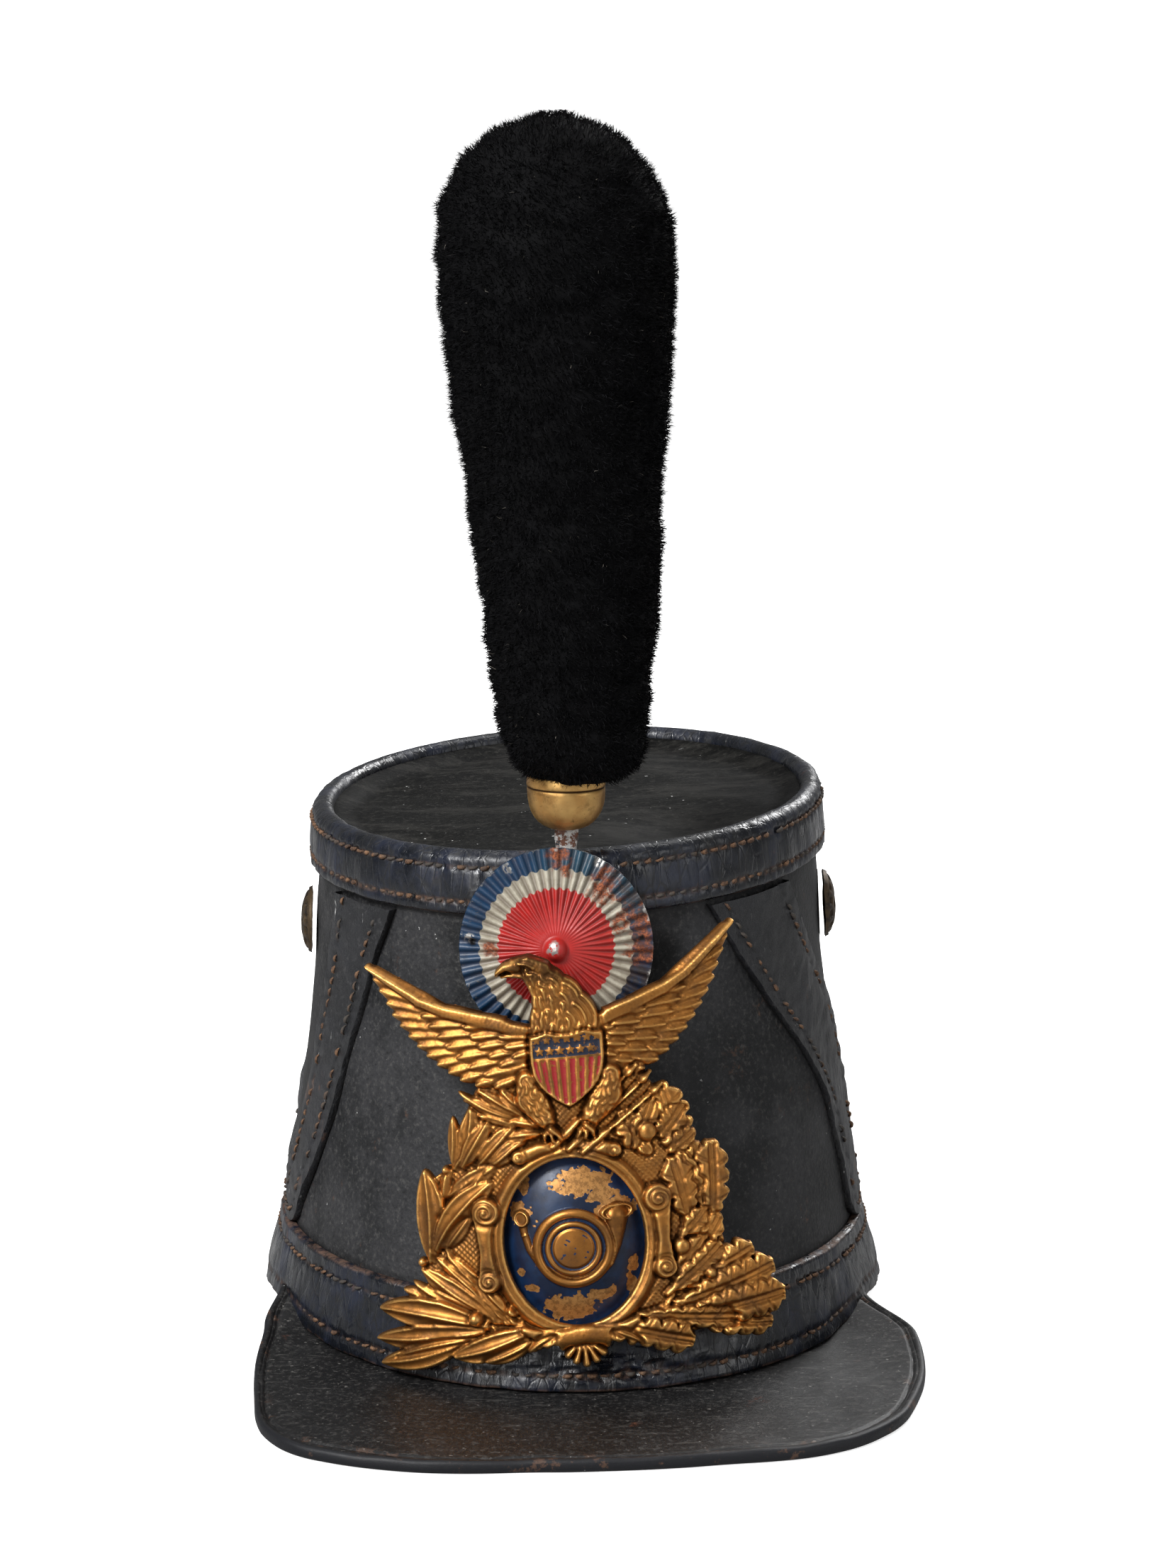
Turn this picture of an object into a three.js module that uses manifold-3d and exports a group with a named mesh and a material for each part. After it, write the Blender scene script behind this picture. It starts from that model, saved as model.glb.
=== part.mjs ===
import * as THREE from "three";
import { mergeVertices } from "three/addons/utils/BufferGeometryUtils.js";
import Module from "manifold-3d";

// A leather shako with a gilt eagle plate, a pleated cockade and a plume.
// Millimetres, +Z up. The front of the hat faces -Y and +X is to the viewer's right.

// Leather body
const RIM_WIDTH = 167.2;
const RIM_LENGTH = 195.6;
const CROWN_WIDTH = 136;
const CROWN_LENGTH = 156.4;
const BODY_HEIGHT = 142;
const CROWN_SET_BACK = 5.35;
const CROWN_SET_LEFT = 1.8;
const CROWN_NOD = 2.1;
const CROWN_ROLL = 2.7;
const SHELL_WALL = 2.5;
const CLEARANCE = 0.3;

// Bands, side straps and ventilators
const BAND_THICKNESS = 2.2;
const TOP_BAND_HEIGHT = 16.5;
const BOTTOM_BAND_HEIGHT = 26;
const CROWN_SINK = 4;
const CROWN_THICKNESS = 2;
const STRAP_THICKNESS = 1.3;
const STRAP_SEAT = 0.85;
const STRAP_BEND = 5.5;
const VENT_DIAMETER = 19;
const VENT_DOME = 4;
const VENT_HEIGHT = 108;

// Visor
const VISOR_THICKNESS = 2.7;
const VISOR_SIDE_LIFT = 4.2;
const VISOR_SPAN = 70;
const BINDING_WIDTH = 3;
const BINDING_PROUD = 0.7;

// Cockade, holder, cup and plume
const COCKADE_DIAMETER = 50.6;
const COCKADE_CONE = 5;
const COCKADE_SHEET = 0.9;
const COCKADE_BOSS_DIAMETER = 6;
const COCKADE_BOSS_HEIGHT = 2.5;
const COCKADE_PLEATS = 48;
const PLEAT_DEPTH = 1.1;
const COCKADE_HEIGHT = 118.4;
const COCKADE_UPRIGHT = 4.15;
const ORNAMENT_SIDE = 4.4;
const STEM_WIDTH = 6.3;
const STEM_THICKNESS = 2.5;
const STEM_REACH = 35;
const STEM_UPRIGHT = 5.65;
const CUP_HEIGHT = 13;
const CUP_WIDTH = 19;
const CUP_FOOT_WIDTH = 7;
const CUP_LIFT = 4.4;
const CUP_RECESS = 3;
const PLUME_HEIGHT = 168;
const PLUME_WIDTH = 59;
const PLUME_LEAN_LEFT = 2.4;

// Plate and medallion
const PLATE_WIDTH = 110;
const PLATE_HEIGHT = 108.7;
const PLATE_BEND_RADIUS = 95;
const PLATE_STAND_OFF = 10.1;
const PLATE_CENTRE_HEIGHT = 44;
const PLATE_SIDE = 0.3;
const PLATE_TURN = 5;
const PLATE_UPRIGHT = 4.15;
const PLATE_THICKNESS = 1.4;
const RELIEF = 4;
const OPENING_WIDTH = 36.2;
const OPENING_HEIGHT = 43.4;
const MEDALLION_DOME = 4.2;
const MEDALLION_FLANGE = 1.6;
const MEDALLION_SHEET = 1.2;
const POST_DIAMETER = 8;

const radians = THREE.MathUtils.degToRad;
const mix = THREE.MathUtils.lerp;

// Girth of the body against a straight cone, from the rim up
const GIRTH = [
  { height: 0, girth: 1 },
  { height: 0.18, girth: 0.977 },
  { height: 0.32, girth: 0.978 },
  { height: 0.45, girth: 0.968 },
  { height: 0.58, girth: 0.965 },
  { height: 0.7, girth: 0.96 },
  { height: 0.84, girth: 0.98 },
  { height: 0.91, girth: 0.988 },
  { height: 1, girth: 1 },
];

// How high the rim stands above its lowest line; turn is in degrees from the front
const RIM_RISE = [
  { turn: 0, visor: 1, side: 0 },
  { turn: 50, visor: 1, side: 0.05 },
  { turn: 60, visor: 1, side: 0.45 },
  { turn: 70, visor: 1, side: 1 },
  { turn: 80, visor: 0.9, side: 0.7 },
  { turn: 100, visor: 0, side: 0 },
  { turn: 180, visor: 0, side: 0 },
];

// Reach of the visor's edge, as a share of the rim oval's radius
const VISOR_EDGE = [
  { turn: -70, reach: 1.075 },
  { turn: -60, reach: 1.14 },
  { turn: -49, reach: 1.318 },
  { turn: -43.7, reach: 1.414 },
  { turn: -38.7, reach: 1.53 },
  { turn: -35.5, reach: 1.58 },
  { turn: -31, reach: 1.615 },
  { turn: -24.4, reach: 1.6 },
  { turn: -17, reach: 1.57 },
  { turn: -5, reach: 1.503 },
  { turn: 4, reach: 1.494 },
  { turn: 10, reach: 1.5 },
  { turn: 17.5, reach: 1.516 },
  { turn: 27, reach: 1.574 },
  { turn: 33, reach: 1.584 },
  { turn: 40, reach: 1.55 },
  { turn: 46, reach: 1.47 },
  { turn: 51, reach: 1.408 },
  { turn: 56, reach: 1.335 },
  { turn: 61.6, reach: 1.246 },
  { turn: 67, reach: 1.14 },
  { turn: 70, reach: 1.09 },
];

// Side straps: turns of the strap's outer and inner edge on the way down to the point,
// in degrees from the front; height is a share of the open stretch between the bands
const STRAP_LEFT = {
  middle: -86,
  rows: [
    { height: 1, outer: -40, inner: -61 },
    { height: 0.82, outer: -46.7, inner: -64 },
    { height: 0.6, outer: -52, inner: -68 },
    { height: 0.38, outer: -57.3, inner: -71.5 },
    { height: 0.21, outer: -63, inner: -77 },
    { height: 0.06, outer: -70, inner: -83.5 },
  ],
};
const STRAP_RIGHT = {
  middle: 92,
  rows: [
    { height: 1, outer: 31, inner: 56 },
    { height: 0.82, outer: 40, inner: 64.5 },
    { height: 0.66, outer: 49.5, inner: 74 },
    { height: 0.51, outer: 59.5, inner: 80 },
    { height: 0.35, outer: 67.5, inner: 84.5 },
    { height: 0.06, outer: 72.5, inner: 89.5 },
  ],
};

// Dents in the crown; places and sizes are shares of the crown's half width
const CROWN_DENTS = [
  { across: 0.45, back: -0.72, size: 0.32, depth: 0.045 },
  { across: -0.35, back: 0.25, size: 0.5, depth: 0.02 },
  { across: 0.3, back: 0.55, size: 0.4, depth: -0.015 },
  { across: -0.62, back: -0.5, size: 0.25, depth: 0.025 },
];

function smooth(share) {
  const t = Math.min(1, Math.max(0, share));
  return t * t * (3 - 2 * t);
}

// Value of one column of a table at a place between its rows
function between(rows, key, place, column) {
  if (place <= rows[0][key]) return rows[0][column];
  for (let i = 1; i < rows.length; i++) {
    if (place <= rows[i][key]) {
      const share = (place - rows[i - 1][key]) / (rows[i][key] - rows[i - 1][key]);
      return mix(rows[i - 1][column], rows[i][column], share);
    }
  }
  return rows[rows.length - 1][column];
}

// Height of the rim's edge above the lowest line, at a turn from the front
function rimRise(turn) {
  const away = Math.abs(((turn + 540) % 360) - 180);
  const visor = between(RIM_RISE, "turn", away, "visor") * (VISOR_THICKNESS + 2 * CLEARANCE);
  return visor + between(RIM_RISE, "turn", away, "side") * VISOR_SIDE_LIFT;
}

// Point on the leather body: turn from the front, height above the rim, distance outwards
function bodyPoint(turn, height, out) {
  const share = height / BODY_HEIGHT;
  const girth = between(GIRTH, "height", share, "girth");
  const halfWidth = mix(RIM_WIDTH, CROWN_WIDTH, share) * girth / 2;
  const halfLength = mix(RIM_LENGTH, CROWN_LENGTH, share) * girth / 2;
  const angle = radians(turn);
  const normal = new THREE.Vector2(Math.sin(angle) / halfWidth, -Math.cos(angle) / halfLength);
  normal.normalize();
  const x = halfWidth * Math.sin(angle) + out * normal.x;
  const y = -halfLength * Math.cos(angle) + out * normal.y;
  const tilt = Math.tan(radians(CROWN_NOD)) * y + Math.tan(radians(CROWN_ROLL)) * x;
  return new THREE.Vector3(
    x - CROWN_SET_LEFT * share,
    y + CROWN_SET_BACK * share,
    height + share * share * tilt,
  );
}

// Closed body from a section carried along steps; corners go round the section once.
// The ends of a paired section are closed by joining each corner to the one across
function sweep(steps, corners, closed, pointAt, paired = false) {
  const positions = [];
  const index = [];
  for (let i = 0; i < steps; i++) {
    for (let k = 0; k < corners; k++) positions.push(...pointAt(i, k).toArray());
  }
  const spans = closed ? steps : steps - 1;
  for (let i = 0; i < spans; i++) {
    const here = i * corners;
    const next = ((i + 1) % steps) * corners;
    for (let k = 0; k < corners; k++) {
      const side = (k + 1) % corners;
      index.push(here + k, next + k, next + side);
      index.push(here + k, next + side, here + side);
    }
  }
  const last = (steps - 1) * corners;
  if (!closed && paired) {
    for (let k = 0; k < corners / 2 - 1; k++) {
      const across = corners - 1 - k;
      index.push(k, k + 1, across - 1, k, across - 1, across);
      index.push(last + k, last + across - 1, last + k + 1);
      index.push(last + k, last + across, last + across - 1);
    }
  } else if (!closed) {
    for (let k = 1; k < corners - 1; k++) {
      index.push(0, k, k + 1);
      index.push(last, last + k + 1, last + k);
    }
  }
  return facingOut(positions, index);
}

// Closed disc from a centre and rings, with an upper and a lower face
function disc(rings, columns, upper, lower) {
  const positions = [];
  const index = [];
  for (const face of [upper, lower]) {
    positions.push(...face(0, 0).toArray());
    for (let r = 1; r <= rings; r++) {
      for (let c = 0; c < columns; c++) positions.push(...face(r, c).toArray());
    }
  }
  const lowerStart = 1 + rings * columns;
  for (let c = 0; c < columns; c++) {
    const d = (c + 1) % columns;
    index.push(0, 1 + c, 1 + d);
    index.push(lowerStart, lowerStart + 1 + d, lowerStart + 1 + c);
    for (let r = 1; r < rings; r++) {
      const inner = 1 + (r - 1) * columns;
      const outer = inner + columns;
      index.push(inner + c, outer + c, outer + d, inner + c, outer + d, inner + d);
      index.push(lowerStart + inner + c, lowerStart + outer + d, lowerStart + outer + c);
      index.push(lowerStart + inner + c, lowerStart + inner + d, lowerStart + outer + d);
    }
    const edge = 1 + (rings - 1) * columns;
    index.push(edge + c, lowerStart + edge + c, lowerStart + edge + d);
    index.push(edge + c, lowerStart + edge + d, edge + d);
  }
  return facingOut(positions, index);
}

// Geometry whose faces point outwards
function facingOut(positions, index) {
  const corner = (i) => new THREE.Vector3().fromArray(positions, 3 * i);
  let volume = 0;
  for (let i = 0; i < index.length; i += 3) {
    const [a, b, c] = [corner(index[i]), corner(index[i + 1]), corner(index[i + 2])];
    volume += a.dot(b.cross(c));
  }
  if (volume < 0) {
    for (let i = 0; i < index.length; i += 3) {
      [index[i + 1], index[i + 2]] = [index[i + 2], index[i + 1]];
    }
  }
  const geometry = new THREE.BufferGeometry();
  geometry.setAttribute("position", new THREE.Float32BufferAttribute(positions, 3));
  geometry.setIndex(index);
  return geometry;
}

const wasm = await Module();
wasm.setup();

function solidOf(geometry) {
  const shared = geometry.clone();
  shared.deleteAttribute("normal");
  shared.deleteAttribute("uv");
  const merged = mergeVertices(shared, 1e-4);
  return new wasm.Manifold(new wasm.Mesh({
    numProp: 3,
    vertProperties: new Float32Array(merged.attributes.position.array),
    triVerts: new Uint32Array(merged.index.array),
  }));
}

function joined(geometries) {
  return geometries.map(solidOf).reduce((whole, piece) => whole.add(piece));
}

function geometryOf(solid) {
  const mesh = solid.getMesh();
  const geometry = new THREE.BufferGeometry();
  geometry.setAttribute("position", new THREE.BufferAttribute(mesh.vertProperties, 3));
  geometry.setIndex(new THREE.BufferAttribute(mesh.triVerts, 1));
  return geometry;
}

const BODY_COLUMNS = 36;
const turnOf = (column) => (360 * column) / BODY_COLUMNS;

// Leather body: outer wall up, inner wall down
function shellGeometry() {
  const top = BODY_HEIGHT - SHELL_WALL / 2;
  const open = (share) => mix(BOTTOM_BAND_HEIGHT, BODY_HEIGHT - TOP_BAND_HEIGHT, share);
  const outside = [0, 0.2, 0.42, 0.62, 0.82, 1].map(open);
  const inside = [0.82, 0.42, 0].map(open);
  return sweep(BODY_COLUMNS, outside.length + inside.length + 4, true, (column, k) => {
    const turn = turnOf(column);
    const levels = [rimRise(turn), ...outside, top, top, ...inside, rimRise(turn)];
    return bodyPoint(turn, levels[k], k < outside.length + 2 ? 0 : -SHELL_WALL);
  });
}

// Band round the crown; its upper edge is rolled inwards over the shell's edge
function topBandGeometry() {
  const outside = CLEARANCE + BAND_THICKNESS;
  const underLip = BODY_HEIGHT - SHELL_WALL / 2 + CLEARANCE;
  const foot = BODY_HEIGHT - TOP_BAND_HEIGHT;
  const section = [
    { out: CLEARANCE, height: foot },
    { out: outside, height: foot },
    { out: outside, height: foot + TOP_BAND_HEIGHT * 0.65 },
    { out: outside * 0.65, height: BODY_HEIGHT - BAND_THICKNESS * 0.3 },
    { out: -SHELL_WALL * 0.4, height: BODY_HEIGHT + BAND_THICKNESS * 0.4 },
    { out: -SHELL_WALL, height: BODY_HEIGHT },
    { out: -SHELL_WALL, height: underLip },
    { out: CLEARANCE, height: underLip },
  ];
  return sweep(BODY_COLUMNS, section.length, true, (column, k) =>
    bodyPoint(turnOf(column), section[k].height, section[k].out));
}

// Head band at the rim
function bottomBandGeometry() {
  const outside = CLEARANCE + BAND_THICKNESS;
  const section = [
    { out: CLEARANCE, share: 0 },
    { out: outside, share: 0 },
    { out: outside * 1.05, share: 0.45 },
    { out: outside, share: 0.94 },
    { out: outside * 0.8, share: 1 },
    { out: CLEARANCE, share: 1 },
  ];
  return sweep(BODY_COLUMNS, section.length, true, (column, k) => {
    const turn = turnOf(column);
    const height = mix(rimRise(turn), BOTTOM_BAND_HEIGHT, section[k].share);
    return bodyPoint(turn, height, section[k].out);
  });
}

// Sunken top with its dents
function crownGeometry() {
  const rings = [0, 0.5, 0.86, 1];
  const columns = 32;
  const face = (ring, column, drop) => {
    const reach = rings[ring];
    const edge = bodyPoint((360 * column) / columns, BODY_HEIGHT, -SHELL_WALL - CLEARANCE);
    const middle = bodyPoint(0, BODY_HEIGHT, 0).lerp(bodyPoint(180, BODY_HEIGHT, 0), 0.5);
    const place = middle.lerp(edge, reach);
    const across = place.x / (CROWN_WIDTH / 2);
    const back = place.y / (CROWN_WIDTH / 2);
    let sink = CROWN_SINK * (1 - smooth((reach - 0.88) / 0.12) * 0.85);
    for (const dent of CROWN_DENTS) {
      const away = Math.hypot(across - dent.across, back - dent.back) / dent.size;
      sink += smooth(1 - away) * smooth((1 - reach) / 0.12) * dent.depth * CROWN_WIDTH / 2;
    }
    place.z -= sink + drop;
    return place;
  };
  return disc(rings.length - 1, columns,
    (ring, column) => face(ring, column, 0),
    (ring, column) => face(ring, column, CROWN_THICKNESS));
}

// Row of numbers halfway between two others
function halfway(a, b) {
  return Object.fromEntries(Object.keys(a).map((key) => [key, (a[key] + b[key]) / 2]));
}

// V strap on one side, down to its point at the bottom band and up again
function strapGeometry({ middle, rows }) {
  const low = BOTTOM_BAND_HEIGHT + CLEARANCE;
  const high = BODY_HEIGHT - TOP_BAND_HEIGHT - CLEARANCE;
  const span = high - low;
  const down = rows.map(({ height, outer, inner }) => (
    { outer, inner, outerHeight: height, innerHeight: height }));
  const point = { outer: middle, inner: middle, outerHeight: 0, innerHeight: 0.1 };
  const last = down[down.length - 1];
  const footRow = (share) => ({
    outer: mix(last.outer, middle, share),
    inner: mix(last.inner, middle, share),
    outerHeight: 0,
    innerHeight: 0.09,
  });
  const feet = [footRow(0.12), footRow(0.56)];
  const up = [...feet.slice().reverse(), ...down.slice().reverse()].map((row) => ({
    ...row,
    outer: 2 * middle - row.outer,
    inner: 2 * middle - row.inner,
  }));
  const corners = [...down, ...feet, point, ...up];
  const path = corners.flatMap((row, i) => {
    const before = corners[Math.max(0, i - 1)];
    const wide = Math.abs(row.outer - before.outer) > STRAP_BEND;
    return wide ? [halfway(before, row), row] : [row];
  });
  const spans = 3;
  return sweep(path.length, 2 * (spans + 1), false, (i, k) => {
    const under = k <= spans;
    const share = (under ? k : 2 * spans + 1 - k) / spans;
    const turn = mix(path[i].outer, path[i].inner, share);
    const height = low + span * mix(path[i].outerHeight, path[i].innerHeight, share);
    return bodyPoint(turn, height, under ? STRAP_SEAT : STRAP_SEAT + STRAP_THICKNESS);
  }, true);
}

// Domed ventilator: base flush on the leather, axis square to it
function ventGeometry() {
  const radius = VENT_DIAMETER / 2;
  const profile = [
    new THREE.Vector2(0, -VENT_DOME * 0.2),
    new THREE.Vector2(radius, -VENT_DOME * 0.2),
    new THREE.Vector2(radius, 0),
    new THREE.Vector2(radius * 0.76, VENT_DOME * 0.2),
    new THREE.Vector2(radius * 0.55, VENT_DOME * 0.9),
    new THREE.Vector2(0, VENT_DOME),
  ];
  return new THREE.LatheGeometry(profile, 12);
}

// Height of the visor's upper face
function visorTop(turn) {
  return rimRise(turn) - CLEARANCE;
}

function visorPoint(turn, reach, inset, height) {
  const angle = radians(turn);
  const place = new THREE.Vector3(
    (RIM_WIDTH / 2) * reach * Math.sin(angle),
    -(RIM_LENGTH / 2) * reach * Math.cos(angle),
    0,
  );
  place.setLength(place.length() - inset);
  place.z = height;
  return place;
}

// Stations along the visor, three to each column of the body
const VISOR_STEPS = 43;
function visorTurn(step) {
  return mix(-VISOR_SPAN, VISOR_SPAN, step / (VISOR_STEPS - 1));
}

function visorReach(turn) {
  return between(VISOR_EDGE, "turn", turn, "reach");
}

function visorGeometry() {
  return sweep(VISOR_STEPS, 4, false, (i, k) => {
    const turn = visorTurn(i);
    const outer = k === 1 || k === 2;
    const place = outer
      ? visorPoint(turn, visorReach(turn), BINDING_WIDTH + CLEARANCE, 0)
      : bodyPoint(turn, 0, -SHELL_WALL / 2);
    place.z = visorTop(turn) - (k < 2 ? 0 : VISOR_THICKNESS);
    return place;
  });
}

// Rolled leather edge of the visor
function bindingGeometry() {
  const section = [
    { inset: 1, height: 0 },
    { inset: 0.2, height: 0 },
    { inset: 0, height: 0.5 },
    { inset: 0.3, height: 1 },
    { inset: 1, height: 0.95 },
  ];
  return sweep(VISOR_STEPS, section.length, false, (i, k) => {
    const turn = visorTurn(i);
    const low = visorTop(turn) - VISOR_THICKNESS - CLEARANCE;
    const high = visorTop(turn) + BINDING_PROUD;
    const { inset, height } = section[k];
    return visorPoint(turn, visorReach(turn), inset * BINDING_WIDTH, mix(low, high, height));
  });
}

// Pleated cockade with a boss, facing +Y of its own frame
function cockadeGeometry() {
  const radius = COCKADE_DIAMETER / 2;
  const boss = COCKADE_BOSS_DIAMETER / 2;
  const columns = 2 * COCKADE_PLEATS;
  const rings = [
    { reach: 0, height: COCKADE_CONE + COCKADE_BOSS_HEIGHT, pleat: 0 },
    { reach: boss, height: COCKADE_CONE, pleat: 0 },
    { reach: radius, height: 0, pleat: 1 },
  ];
  const face = (ring, column, drop) => {
    const { reach, height, pleat } = rings[ring];
    const angle = (2 * Math.PI * column) / columns;
    const fold = (column % 2 ? 1 : -1) * PLEAT_DEPTH / 2 * pleat;
    const out = reach * (1 + (column % 2 ? 0.012 : -0.012) * pleat);
    return new THREE.Vector3(out * Math.cos(angle), height + fold - drop, out * Math.sin(angle));
  };
  return disc(rings.length - 1, columns,
    (ring, column) => face(ring, column, 0),
    (ring, column) => face(ring, column, COCKADE_SHEET));
}

// Backward lean of the body's front in degrees; the plate, the cockade and the plume
// holder stand more upright than that
const bodyLean = (() => {
  const line = bodyPoint(0, BODY_HEIGHT, 0).sub(bodyPoint(0, 0, 0));
  return THREE.MathUtils.radToDeg(Math.atan2(line.y, line.z));
})();
const plateLean = radians(bodyLean - PLATE_UPRIGHT);
const cockadeLean = radians(bodyLean - COCKADE_UPRIGHT);

// Front of the top band at its lower edge, where the flat plume holder leans on it
const bandFront = bodyPoint(0, BODY_HEIGHT - TOP_BAND_HEIGHT * 0.9, CLEARANCE + BAND_THICKNESS);
const stemLow = bandFront.y - CLEARANCE - STEM_THICKNESS / 2;
const stemTop = bodyPoint(0, BODY_HEIGHT, 0).z + CUP_LIFT + CLEARANCE;
const stemSlope = Math.tan(radians(bodyLean - STEM_UPRIGHT));
const cupFoot = new THREE.Vector3(
  -CROWN_SET_LEFT,
  stemLow + (stemTop - bandFront.z) * stemSlope,
  stemTop + CLEARANCE,
);

// Flat holder that comes up behind the cockade to the cup
function stemGeometry() {
  const bottom = stemTop - STEM_REACH;
  return sweep(2, 4, false, (i, k) => {
    const height = i ? stemTop : bottom;
    const middle = stemLow + (height - bandFront.z) * stemSlope;
    const side = k === 0 || k === 3 ? -1 : 1;
    const depth = k < 2 ? -1 : 1;
    return new THREE.Vector3(
      cupFoot.x + side * STEM_WIDTH / 2,
      middle + depth * STEM_THICKNESS / 2,
      height,
    );
  });
}

// Brass cup with a recess for the plume's foot
function cupGeometry() {
  const rim = CUP_WIDTH / 2;
  const foot = CUP_FOOT_WIDTH / 2;
  const profile = [
    new THREE.Vector2(0, 0),
    new THREE.Vector2(foot, 0),
    new THREE.Vector2(foot * 1.15, CUP_HEIGHT * 0.12),
    new THREE.Vector2(rim * 0.86, CUP_HEIGHT * 0.4),
    new THREE.Vector2(rim * 0.95, CUP_HEIGHT * 0.75),
    new THREE.Vector2(rim, CUP_HEIGHT),
    new THREE.Vector2(rim * 0.84, CUP_HEIGHT),
    new THREE.Vector2(rim * 0.7, CUP_HEIGHT - CUP_RECESS),
    new THREE.Vector2(0, CUP_HEIGHT - CUP_RECESS),
  ];
  return new THREE.LatheGeometry(profile, 12).rotateX(Math.PI / 2);
}

// Outline of the plume: half width as a share of the widest, up from the cup
const PLUME_OUTLINE = [
  { height: 0, half: 0.5 },
  { height: 0.06, half: 0.62 },
  { height: 0.15, half: 0.71 },
  { height: 0.3, half: 0.81 },
  { height: 0.45, half: 0.88 },
  { height: 0.6, half: 0.96 },
  { height: 0.75, half: 1 },
  { height: 0.86, half: 0.96 },
  { height: 0.93, half: 0.82 },
  { height: 0.97, half: 0.55 },
  { height: 1, half: 0.16 },
];

// Point of the plume: height and turn, and how far out of its outline it stands
function plumePoint(height, turn, proud) {
  const half = between(PLUME_OUTLINE, "height", height, "half") * PLUME_WIDTH / 2;
  const angle = radians(turn);
  const lean = -PLUME_LEAN_LEFT * smooth(height * 1.4);
  return new THREE.Vector3(
    lean + (half + proud) * Math.cos(angle),
    (half + proud) * Math.sin(angle),
    2 * CLEARANCE + PLUME_HEIGHT * height,
  );
}

// Plume: tiers of locks that wind upwards, fused to a core that stands in the cup
const PLUME_LOCKS = 10;
const PLUME_TIERS = 5;
const PLUME_WIND = 70;
const LOCK_DEPTH = 2.2;

function plumeGeometry() {
  const foot = (CUP_WIDTH / 2) * 0.7 - 2 * CLEARANCE;
  const stations = 16;
  const corners = 2 * PLUME_LOCKS;
  return sweep(stations, corners, false, (i, k) => {
    const turn = (360 * k) / corners;
    if (i < 2) {
      const angle = radians(turn);
      const level = i ? CLEARANCE : CLEARANCE - CUP_RECESS;
      return new THREE.Vector3(foot * Math.cos(angle), foot * Math.sin(angle), level);
    }
    const height = (i - 2) / (stations - 3);
    const tier = (height * PLUME_TIERS + 0.5 * (Math.floor(k / 2) % 2)) % 1;
    const ridge = k % 2 ? -1 : 1 - 0.9 * tier;
    return plumePoint(height, turn + PLUME_WIND * height, ridge * LOCK_DEPTH);
  });
}

// The plate is drawn on a grid of 110 by 107 modules from the middle of its opening
const MODULE_ACROSS = PLATE_WIDTH / 110;
const MODULE_UP = PLATE_HEIGHT / 107;
const BACK = -PLATE_THICKNESS;
const RELIEF_BASE = BACK * 0.7;

// Middle of the plate's opening, in front of the body
const plateMiddle = bodyPoint(0, PLATE_CENTRE_HEIGHT, PLATE_STAND_OFF);
plateMiddle.x = PLATE_SIDE;
const plateAxes = (() => {
  const up = new THREE.Vector3(0, Math.sin(plateLean), Math.cos(plateLean));
  const out = new THREE.Vector3(0, -up.z, up.y);
  up.applyAxisAngle(out, radians(PLATE_TURN));
  return { up, out, across: up.clone().cross(out) };
})();

// Point of the bent plate: across and up in modules, height above its face in mm
function platePoint(across, up, height) {
  const bend = (across * MODULE_ACROSS) / PLATE_BEND_RADIUS;
  const radius = PLATE_BEND_RADIUS + height;
  return plateMiddle.clone()
    .addScaledVector(plateAxes.across, radius * Math.sin(bend))
    .addScaledVector(plateAxes.up, up * MODULE_UP)
    .addScaledVector(plateAxes.out, radius * Math.cos(bend) - PLATE_BEND_RADIUS);
}

// Raised strip with one ridge; rows give its middle line, half width and ridge height,
// the widths in modules and the ridge as a share of the relief
function strip(rows) {
  const ahead = rows.map((row, i) => {
    const next = rows[Math.min(i + 1, rows.length - 1)];
    const last = rows[Math.max(i - 1, 0)];
    return new THREE.Vector2(next.u - last.u, next.v - last.v).normalize();
  });
  return sweep(rows.length, 3, false, (i, k) => {
    const { u, v, half, rise } = rows[i];
    const side = [-half, 0, half][k];
    const height = k === 1 ? rise * RELIEF : RELIEF_BASE;
    return platePoint(u - ahead[i].y * side, v + ahead[i].x * side, height);
  });
}

// Leaf or feather from its root to its tip, widest part of the way along, with a bow
function leaf({ u, v, tipU, tipV, half, rise, widest = 0.5, bow = 0 }) {
  const across = tipV - v;
  const up = u - tipU;
  return strip([
    { u, v, half: half * 0.35, rise: rise * 0.45 },
    {
      u: mix(u, tipU, widest) + bow * across,
      v: mix(v, tipV, widest) + bow * up,
      half,
      rise,
    },
    { u: tipU, v: tipV, half: 0.25, rise: rise * 0.3 },
  ]);
}

// Bent sheet that backs the relief, its left and right edge at each height
const BACKING = [
  { v: -27.2, left: -34, right: 34 },
  { v: -22, left: -50, right: 48 },
  { v: -9, left: -41, right: 41 },
  { v: 17, left: -38, right: 37 },
  { v: 22, left: -29.4, right: 31 },
  { v: 31, left: -28, right: 29 },
  { v: 40, left: -23, right: 23 },
  { v: 47, left: -14, right: 14 },
  { v: 54, left: -6, right: 10.4 },
];
function backing() {
  const spans = 8;
  return sweep(BACKING.length, 2 * (spans + 1), false, (i, k) => {
    const front = k <= spans;
    const share = (front ? k : 2 * spans + 1 - k) / spans;
    const { v, left, right } = BACKING[i];
    return platePoint(mix(left, right, share), v, front ? 0 : BACK);
  }, true);
}

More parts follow.
